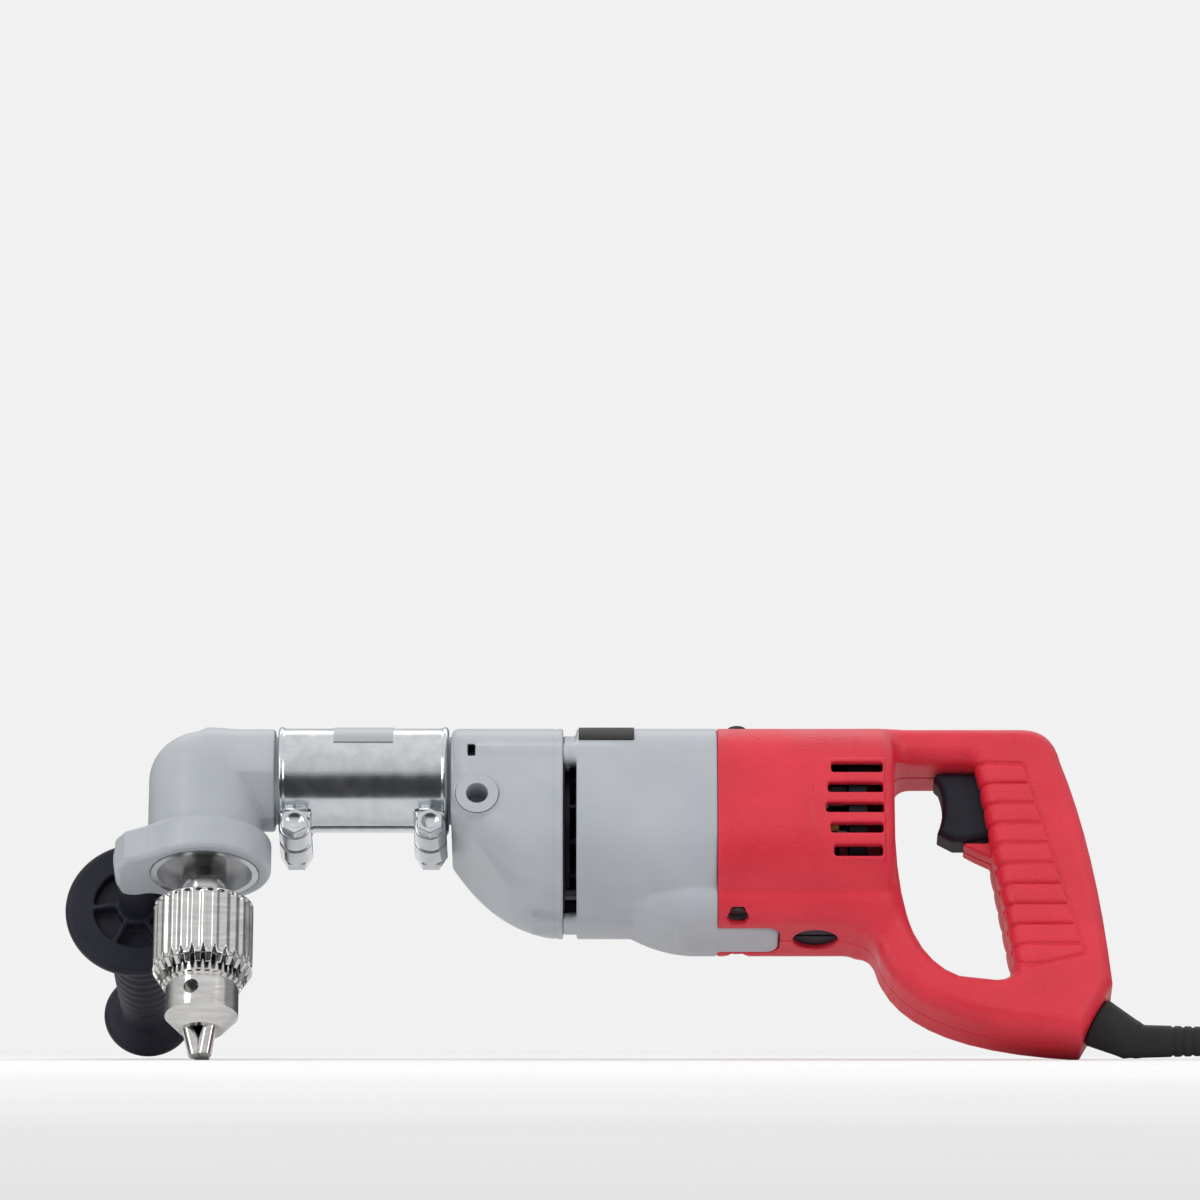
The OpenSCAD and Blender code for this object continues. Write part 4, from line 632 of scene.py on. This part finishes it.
# %% Screw bosses and keel
UPPER_BOSS = ((-23.4, 5.8), (-37.0, -5.0))
LOWER_BOSS = ((-2.5, -71.4), (-0.5, -71.6))
UPPER_R, LOWER_R = 4.8, 4.0
RAIL_R = 12.3


def boss_line(s, a, b, r):
    """Field of a bar of radius r along X whose section runs from a to b, on both sides of the tool."""
    ax, az = a
    ex, ez = b[0] - a[0], b[1] - a[1]
    y = -np.abs(s.y)
    t = np.clip(((y - ax) * ex + (s.z - az) * ez) / (ex * ex + ez * ez), 0, 1)
    return np.sqrt((y - ax - t * ex) ** 2 + (s.z - az - t * ez) ** 2) - r


def rail(s, r):
    """The keel under the motor: it swells out of the motor housing and runs on along the red shell."""
    return boss_line(s, (0, -67.6), (-15, -67.2), r)


# %% Gear case
CASE_X, CASE_END, RIDGE_R = 111.5, 162.0, 22.1
CASE_WALL, CASE_FLOOR_X = 3.6, 131.5
CASE_BOSSES = ((UPPER_BOSS, UPPER_R, 122.5, 9.0), (LOWER_BOSS, LOWER_R, 147.5, 3.2))
SOCKET_X, SOCKET_Z, SOCKET_R, COLLAR_R = 123.5, -27.0, 9.55, 10.4
SCORE_DEPTH, SCORE_IN = 0.55, 3.2
CASE_FRONT = tool_box("gear_case")[0][0]
lower_front = curve((CASE_X + 46, -82), (CASE_X + 14, -51), (CASE_X, -29), 12)
profile = [(CASE_END + 60, 90), (CASE_END + 60, -95), (CASE_X + 64, -95)] + lower_front + [(CASE_X, 90)]
s = Space((CASE_FRONT - 1, -47, -79), (CASE_END + 1, 47, 25), 0.75)
ridge = np.sqrt(s.y ** 2 + s.z ** 2) - RIDGE_R
form = join(section(s, drop=-1), ridge, 5)
front_edge = 3.5 + 8.5 * np.clip((8 - s.z) / 25, 0, 1)
case = corner(form, outline_field(s.x, s.z, profile), front_edge)
gear_room = np.maximum(np.minimum(section(s, -CASE_WALL), ridge + CASE_WALL), CASE_FLOOR_X - s.x)
gear_room = np.maximum(gear_room, case + 3.2)
for (a, b), r, start, deep in CASE_BOSSES:
    case = join(case, corner(boss_line(s, a, b, r), start - s.x, 0.8), 1.2)
    seat = np.maximum(boss_line(s, a, b, r - 0.3), np.maximum(s.x - start, start - 3.4 - s.x))
    case = cut(case, np.maximum(seat, -deep - form), 0.4)
case = join(case, rod(s.x - SOCKET_X, s.z - SOCKET_Z, s.y, COLLAR_R, -43.2, -20, 0.9), 1.2)
score = SCORE_DEPTH * np.exp(-((s.x - CASE_END + SCORE_IN) / 0.5) ** 2)
case = np.maximum(case, s.x - CASE_END) + score
case = np.minimum(case, rod(s.y, s.z, s.x, 19.95, CASE_FRONT, CASE_X + 20, 0.8))
spindle_bore = rod(s.y, s.z, s.x, 13.05, 0, 140)
socket_bore = rod(s.x - SOCKET_X, s.z - SOCKET_Z, s.y, SOCKET_R, -FAR, -29)
for hollow in (gear_room, spindle_bore, socket_bore):
    case = cut(case, hollow, 0.3)
case_piece = skin("gear_case_casting", s, case, GREY_PAINT, "housing", "gear_case")

# %% Motor housing
MOTOR_X, MOTOR_END = 168.0, 231.5
SPIGOT_END = float(tool_box("motor_housing")[1][0])
TONGUE_X, TONGUE_Y, TONGUE_HALF_X, TONGUE_HALF_Y, TONGUE_CORNER = 236, 1, 23, 12.5, 6
s = Space((CASE_END - 1, -47, -82), (262, 47, 20), 0.75)
housing = corner(section(s, drop=-1), np.maximum(MOTOR_X - s.x, s.x - MOTOR_END), 1.0)
sink = 10 * np.clip((s.x - 180) / 28, 0, 1) ** 2
upper = corner(boss_line(s, *UPPER_BOSS, UPPER_R) + sink, CASE_END - s.x)
lower = corner(boss_line(s, *LOWER_BOSS, LOWER_R) + sink, CASE_END - s.x)
housing = join(housing, np.maximum(np.minimum(upper, lower), s.x - MOTOR_END), 2)
growth = 8 * np.clip((222 - s.x) / 30, 0, 1) ** 2
keel = corner(rail(s, RAIL_R) + growth, np.maximum(s.x - MOTOR_END, 185 - s.x), 0.5)
housing = join(housing, keel, 1.2)
tongue = block(s.x - TONGUE_X, s.y - TONGUE_Y, TONGUE_HALF_X, TONGUE_HALF_Y, TONGUE_CORNER)
housing = join(housing, corner(tongue, np.abs(s.z + 74.5) - 5.5, 2.2), 2)
spigot = np.maximum(section(s, -3.2), np.maximum(MOTOR_END - 2 - s.x, s.x - SPIGOT_END))
housing = np.minimum(housing, spigot)
motor_room = np.minimum(section(s, -6.3), np.maximum(section(s, -3.1), s.x - MOTOR_END + 2))
for (a, b), r in ((UPPER_BOSS, UPPER_R), (LOWER_BOSS, LOWER_R)):
    motor_room = np.maximum(motor_room, -np.maximum(boss_line(s, a, b, r), s.x - 173))
housing = cut(housing, motor_room, 0.3)
housing_piece = skin("motor_housing_casting", s, housing, GREY_PAINT, "housing", "motor_housing")

# %% [markdown]
# ## Fan baffle
# Behind the vent gap the fan turns in front of a baffle, which keeps the warm air from being drawn in
# again. It also keeps daylight from showing through the drill, so the gap looks as dark as it should. The
# webs above and below the axle are grey casting on the real drill, but here they are made in the baffle's
# black plastic: that black is painted shade in the gap.

# %% Fan baffle
FAN_LO, FAN_HI = tool_box("fan")
FAN_R = float(FAN_HI[2] - FAN_LO[2]) / 2
AXLE_HOLE_R, BAFFLE_HALF, PAINTED_SHADE_WEB_HALF = 14, 0.4, 2
s = Space((CASE_END - 0.4, -40, -76), (MOTOR_X + 0.5, 40, 16), 0.5)
axle = np.sqrt(s.y ** 2 + (s.z - MOTOR_Z) ** 2)
inner = section(s, -4.2)
plate = np.maximum(AXLE_HOLE_R - axle, np.abs(s.x - CASE_END - 0.45) - BAFFLE_HALF)
# Webs above and below the axle: grey casting on the drill, coloured black here as painted shade in the gap.
painted_shade_web = np.maximum(np.abs(s.y) - PAINTED_SHADE_WEB_HALF, FAN_R + 1 - axle)
painted_shade_web = np.maximum(painted_shade_web, np.maximum(np.minimum(s.z + 50, 2 - s.z), s.x - MOTOR_X))
baffle_with_shade_web = np.maximum(np.minimum(plate, painted_shade_web), inner)
baffle_with_shade_web_piece = skin("fan_baffle_with_shade_web", s, baffle_with_shade_web, BLACK_PLASTIC, "housing")

# %% [markdown]
# ## The red shell
# Two nylon halves form the rear of the motor and the D-handle. The handle is a flat outline with an
# opening, rounded over its edges; the motor part is the body section again. One smooth union gives the soft
# moulded shoulder between them. Grip panel, vent pad, vents, screw seats and the guard hook are then cut
# into or laid on the same field, and the plane between the halves splits it into two pieces.

# %% Outlines of the handle
handle_outline = (
    [(294.5, 19)]
    + curve((370, 19), (382, 19), (386, 7), 6)
    + curve((387, 3), (402, -40), (408, -107.3))
    + curve((393.5, -132.8), (319.5, -128.8), (305, -97), 10)
    + curve((304, -95), (300.5, -81), (294.5, -80), 4)
)
opening_outline = (
    curve((311.5, -3.5), (311.5, 1.5), (316.5, 1.5), 4)
    + curve((343, 1.5), (348, 1.5), (349.2, -4.5), 4)
    + curve((364, -96.5), (365, -105.5), (356, -105.5), 5)
    + curve((339.5, -103.5), (313.5, -93.5), (311.5, -39.5))
)
panel_outline = [(344, 0), (369, -0.5), (371, -2.5), (396, -95), (371, -101), (361, -95), (349, -10)]
pad_outline = curve((281, -9), (266, -27), (281, -58), 8) + [(309, -58), (309, -9)]
hook_outline = [(342.4, -35.2), (344, -34.4), (356, -34.4), (359, -44), (348, -38.5)]

# %% Outer form of the shell
HANDLE_HALF, HANDLE_TOP, SHELL_END, SHELL_DROP = 19.5, 19, 308.5, 1.5
LEAN_COS, LEAN_SIN = round(axis_z.z, 4), round(axis_z.y, 4)
LEVEL_TOP = 23.1


def shell_form(s, depth, plan, opening):
    """Motor part and handle in one smooth union, open for the fingers and level on top as the tool leans."""
    front = MOTOR_END - s.x
    grip = corner(plan, depth - HANDLE_HALF, 7.5)
    motor = join(section(s, drop=SHELL_DROP), rail(s, RAIL_R), 1.6)
    motor = corner(motor, s.x - SHELL_END - 2.5, 8)
    form = join(np.maximum(motor, front), np.maximum(grip, front), 9)
    top = np.maximum(LEAN_COS * s.z + LEAN_SIN * depth - LEVEL_TOP, s.z - HANDLE_TOP)
    return np.maximum(np.maximum(form, -opening), top)


# %% Relief of the flanks
GROOVE, ROW_PITCH, PAD_RISE = 1.1, 10, 1.1


def grip_carving(s):
    """Depth of the groove round the grip panel and of the rows across it."""
    panel = outline_field(s.x, s.z, panel_outline)
    border = GROOVE * np.exp(-(panel / 0.6) ** 2)
    from_row = np.abs((s.z / ROW_PITCH + 0.5) % 1 - 0.5) * ROW_PITCH
    rows = GROOVE * np.exp(-(from_row / 0.55) ** 2) + 0.014 * (ROW_PITCH / 2 - from_row) ** 2
    return border + rows * np.clip(-panel / 1.2, 0, 1)


def pad_height(s):
    """Height of the pad that carries the vents."""
    pad = outline_field(s.x, s.z, pad_outline)
    return PAD_RISE * np.clip(0.5 - pad / 0.9, 0, 1) * (s.x < SHELL_END - 2)


# %% Room inside the shell
HANDLE_SCREWS = ((321.5, 10.25), (368, 10.25), (325.5, -108.8), (380, -117.8))
POST_R = 4.5


def shell_room(s, depth, plan):
    """The hollow, with a rib left behind the vents and a post round each joining screw."""
    room = np.minimum(section(s, -3.05, drop=SHELL_DROP), rail(s, RAIL_R - 3))
    room = np.maximum(room, s.x - SHELL_END + 3)
    room = np.minimum(room, np.maximum(plan + 3.2, depth - 16))
    rib = np.maximum(depth - 1.6, np.maximum(284 - s.x, np.abs(s.z + 36.5) - 5))
    posts = FAR
    for x, z in HANDLE_SCREWS:
        posts = np.minimum(posts, np.sqrt((s.x - x) ** 2 + (s.z - z) ** 2) - POST_R)
    return np.maximum(np.maximum(room, -rib), -posts)


# %% Openings of the shell
VENT_X, VENT_TOP, VENT_PITCH, VENT_HALF_H = 294, -13.6, 10, 2.45
VENT_HALF = (11.6, 12.4, 13.0, 11.8, 10.9)
VENT_SHIFT = (0.0, 0.7, 1.0, 0.2, -0.4)
BRUSH_X, BRUSH_R = 275.5, 10.1
SEAT_X, SEAT_Y, SEAT_HALF = 240.5, 20.0, 4.5
SLOT_PLAY = 0.4
RELIEF_POINT, RELIEF_AXIS = (400.76, -120.05), (0.8693, -0.4943)


def relief_axes(s):
    """Distance along the axis of the lead's boot, and away from that axis."""
    u, v = s.x - RELIEF_POINT[0], s.z - RELIEF_POINT[1]
    along = u * RELIEF_AXIS[0] + v * RELIEF_AXIS[1]
    across = -u * RELIEF_AXIS[1] + v * RELIEF_AXIS[0]
    return along, np.sqrt(across ** 2 + s.y ** 2)


def open_flanks(field, s, depth):
    """Vents, holes of the joining screws, windows of the brush caps and the trigger's gate."""
    for row, (half, shift) in enumerate(zip(VENT_HALF, VENT_SHIFT)):
        vent = block(s.x - VENT_X + shift, s.z - VENT_TOP + VENT_PITCH * row, half, VENT_HALF_H, 1.2)
        field = cut(field, np.maximum(vent, 30 - depth), 0.8)
    for x, z in HANDLE_SCREWS:
        field = cut(field, rod(s.x - x, s.z - z, s.y, 4.3, 13.4, FAR), 0.3)
        field = cut(field, rod(s.x - x, s.z - z, s.y, 2.55, -12.5, FAR), 0.2)
    window = np.sqrt((s.x - BRUSH_X) ** 2 + s.y ** 2) - BRUSH_R
    field = cut(field, np.maximum(window, 38.9 - np.abs(s.z - MOTOR_Z)), 0.5)
    gate = np.maximum(np.maximum(344 - s.x, s.x - 369), np.maximum(depth - 8.4, np.abs(s.z + 16.5) - 17.4))
    return cut(field, gate, 0.4)


def open_ends(field, s, depth):
    """Seats of the shell screws, slot of the motor housing's tongue and hole of the lead's boot."""
    for floor_z, up in ((10, 1), (-71, -1)):
        seat = hexagon(depth - SEAT_Y, s.x - SEAT_X, SEAT_HALF)
        field = cut(field, np.maximum(seat, (floor_z - s.z) * up), 0.4)
    slot = block(s.x - TONGUE_X, s.y - TONGUE_Y, TONGUE_HALF_X + SLOT_PLAY, TONGUE_HALF_Y + SLOT_PLAY,
                 TONGUE_CORNER + SLOT_PLAY)
    field = cut(field, corner(slot, np.abs(s.z + 76) - 7, 1), 0.3)
    along, away = relief_axes(s)
    return cut(field, np.maximum(away - 7.1, -12 - along), 0.3)


# %% The two halves
HALVES = (("shell_near", "handle_half_near", -46.5, 2, 1), ("shell_far", "handle_half_far", -2, 46.5, -1))


def shell_field(s):
    """Both halves of the red shell as one field."""
    depth = np.abs(s.y)
    opening = outline_field(s.x, s.z, opening_outline)
    plan = np.maximum(outline_field(s.x, s.z, handle_outline), -opening)
    field = shell_form(s, depth, plan, opening)
    field = field + grip_carving(s) * (depth > 8)
    field = field - pad_height(s) * (depth > 28)
    field = cut(field, shell_room(s, depth, plan), 0.4)
    field = open_flanks(field, s, depth)
    hook = corner(outline_field(s.x, s.z, hook_outline), depth - 7.5, 1.5)
    return open_ends(np.minimum(field, hook), s, depth)


for name, node, lo, hi, sign in HALVES:
    s = Space((MOTOR_END - 2, lo, -136), (411, hi, 22), 0.66)
    half = corner(shell_field(s), sign * s.y + 0.02, 0.5)
    piece = skin(name, s, half, RED_NYLON, "housing", node)

# %% [markdown]
# ## Trigger
# A narrow paddle that slides into the grip. Its front face is hollowed for the finger and a lobe stands out
# at its top. The outline is drawn in side view and rounded over both edges.

# %% Trigger
TRIG_X, TRIG_TOP, TRIG_LOW, TRIG_BACK, TRIG_HALF = 330.0, 0.5, -33.5, 358.0, 8.0
PLUNGER_R, PLUNGER_Z, PLUNGER_END = 3, -16.5, 368.4
paddle = [(TRIG_BACK, TRIG_TOP), (TRIG_BACK, TRIG_LOW + 3), (TRIG_X + 14, TRIG_LOW), (TRIG_X + 8, TRIG_LOW)]
paddle += curve((TRIG_X + 1, TRIG_LOW + 4), (TRIG_X + 6, TRIG_LOW + 17), (TRIG_X + 2, TRIG_TOP - 6), 8)
paddle += [(TRIG_X, TRIG_TOP - 4), (TRIG_X, TRIG_TOP - 1.5), (TRIG_X + 1.5, TRIG_TOP)]
s = Space((TRIG_X - 1, -9, TRIG_LOW - 1), (370, 9, TRIG_TOP + 1), 0.45)
trigger = corner(outline_field(s.x, s.z, paddle), np.abs(s.y) - TRIG_HALF, 3.2)
plunger = rod(s.y, s.z - PLUNGER_Z, s.x, PLUNGER_R, TRIG_BACK - 2, PLUNGER_END, 0.4)
trigger_piece = skin("trigger_paddle", s, np.minimum(trigger, plunger), BLACK_PLASTIC, "trigger", "trigger")

# %% [markdown]
# ## Strain relief
# The boot leaves the slanted rear face of the handle, bends level and ends in a ribbed sleeve that lets the
# lead flex. It is a cone, a ball at the bend and a tapered rod, joined softly, with rings cut into the
# sleeve.

# %% Strain relief
BOOT_LEN, BOOT_END, RELIEF_LEN, RELIEF_R = 19.229, (417.466, -129.518), 31.0, 7.5
RING_DEPTH, RING_PITCH, RINGS_FROM = 0.7, 4.4, 15
NECK_HOLD_R = 6.75
s = Space((388, -14, -141), (BOOT_END[0] + RELIEF_LEN + 1, 14, -108), 0.5)
along, away = relief_axes(s)
cone = (away - RELIEF_R - 4 + 2.8 * along / BOOT_LEN) * 0.98
cone = corner(cone, np.maximum(0.2 - along, along - BOOT_LEN), 1.2)
level, rise = s.x - BOOT_END[0], s.z - BOOT_END[1]
ball = np.sqrt(level ** 2 + s.y ** 2 + rise ** 2) - RELIEF_R
ringed = (level > RINGS_FROM) & (level < RELIEF_LEN - 3)
rings = RING_DEPTH * np.clip(1.6 * np.cos(level * 2 * math.pi / RING_PITCH) - 0.5, 0, 1) * ringed
tapered = np.sqrt(s.y ** 2 + rise ** 2) - RELIEF_R + 0.9 * level / RELIEF_LEN + rings
sleeve_rod = corner(tapered, np.maximum(-level, level - RELIEF_LEN), 0.8)
boot = join(join(cone, ball, 3), sleeve_rod, 1)
neck_hold = np.maximum(away - NECK_HOLD_R, np.maximum(-6 - along, along - 2))
boot = np.minimum(boot, neck_hold)
boot_piece = skin("strain_relief_boot", s, boot, BLACK_RUBBER, "housing", "strain_relief")

# %% [markdown]
# ## Floor and light
# Polished metal only looks like metal when it has something dark to mirror. So the room is bright above and
# dim at eye level, and the front half of the floor isn't mirrored, as if the table ended there: that gives
# the sleeve its dark band. The camera itself sees a plain pale background. One large soft box stands above
# the front, two slim ones left and right draw the bright stripes on the chuck, and one lights the floor
# behind.

# %% Stage
bpy.context.scene.view_settings.view_transform = "Standard"
PALE = finish("pale_floor", (0.84, 0.84, 0.84), (0.88, 0.88, 0.88), rough=(0.6, 0.7), grain=60, relief=0.0,
              drift=400, specular=0.1)
TABLE_EDGE, FLOOR_NEAR, FLOOR_FAR, FLOOR_HALF = -0.2, -4.2, 1.8, 3
for name, near, far in (("floor_back", TABLE_EDGE, FLOOR_FAR), ("floor_front", FLOOR_NEAR, TABLE_EDGE)):
    corners = [(-FLOOR_HALF, near, 0), (FLOOR_HALF, near, 0), (FLOOR_HALF, far, 0), (-FLOOR_HALF, far, 0)]
    sheet = bpy.data.meshes.new(name)
    sheet.from_pydata(corners, [], [(0, 1, 2, 3)])
    sheet.materials.append(PALE)
    floor = bpy.data.objects.new(name, sheet)
    bpy.context.scene.collection.objects.link(floor)
    floor.visible_glossy = name == "floor_back"
    print("%s: %.1f m deep" % (name, far - near))

# %% Room
ROOM_LOW, ROOM_HIGH = (0.06, 0.06, 0.065, 1), (0.95, 0.95, 0.95, 1)
ROOM_STOPS = ((0.14, 0.12), (0.36, 0.70))
BACKGROUND = (0.88, 0.88, 0.88, 1)
world = bpy.data.worlds.new("studio")
bpy.context.scene.world = world
world.use_nodes = True
room = world.node_tree
direction = room.nodes.new("ShaderNodeTexCoord")
parts = room.nodes.new("ShaderNodeSeparateXYZ")
height = room.nodes.new("ShaderNodeValToRGB")
room.links.new(direction.outputs["Generated"], parts.inputs["Vector"])
room.links.new(parts.outputs["Z"], height.inputs["Fac"])
stops = height.color_ramp.elements
stops[0].position, stops[0].color = 0.0, ROOM_LOW
stops[1].position, stops[1].color = 1.0, ROOM_HIGH
for place, level in ROOM_STOPS:
    stops.new(place).color = (level, level, level, 1)
backdrop = room.nodes.new("ShaderNodeBackground")
backdrop.inputs["Color"].default_value = BACKGROUND
seen = room.nodes.new("ShaderNodeLightPath")
either = room.nodes.new("ShaderNodeMixShader")
room.links.new(height.outputs["Color"], room.nodes["Background"].inputs["Color"])
room.links.new(seen.outputs["Is Camera Ray"], either.inputs[0])
room.links.new(room.nodes["Background"].outputs["Background"], either.inputs[1])
room.links.new(backdrop.outputs["Background"], either.inputs[2])
room.links.new(either.outputs["Shader"], room.nodes["World Output"].inputs["Surface"])
print("room: %d stops from floor to sky" % len(stops))


# %% Lights
def soft_light(name, place, target, size, power, mirrored=True):
    """Large area lamp aimed at a point; one that isn't mirrored leaves no white patch on bright metal."""
    lamp = bpy.data.lights.new(name, "AREA")
    lamp.shape = "RECTANGLE"
    lamp.size, lamp.size_y = size
    lamp.energy = power
    holder = bpy.data.objects.new(name, lamp)
    bpy.context.scene.collection.objects.link(holder)
    holder.location = place
    holder.rotation_euler = (Vector(target) - Vector(place)).to_track_quat("-Z", "Y").to_euler()
    holder.visible_glossy = mirrored
    print("%s: %g W" % (name, power))


soft_light("front_box", (-0.3, -1.9, 2.3), (0, -0.5, 0), (4.6, 2.4), 24, mirrored=False)
soft_light("left_box", (-1.3, -0.9, 0.7), (-0.1, 0, 0.08), (0.35, 1.1), 5)
soft_light("right_box", (1.3, -1.1, 0.7), (0, 0, 0.08), (0.3, 1.0), 4)
soft_light("back_box", (0, 2.0, 2.2), (0, 0.9, 0.0), (3.0, 1.0), 12)
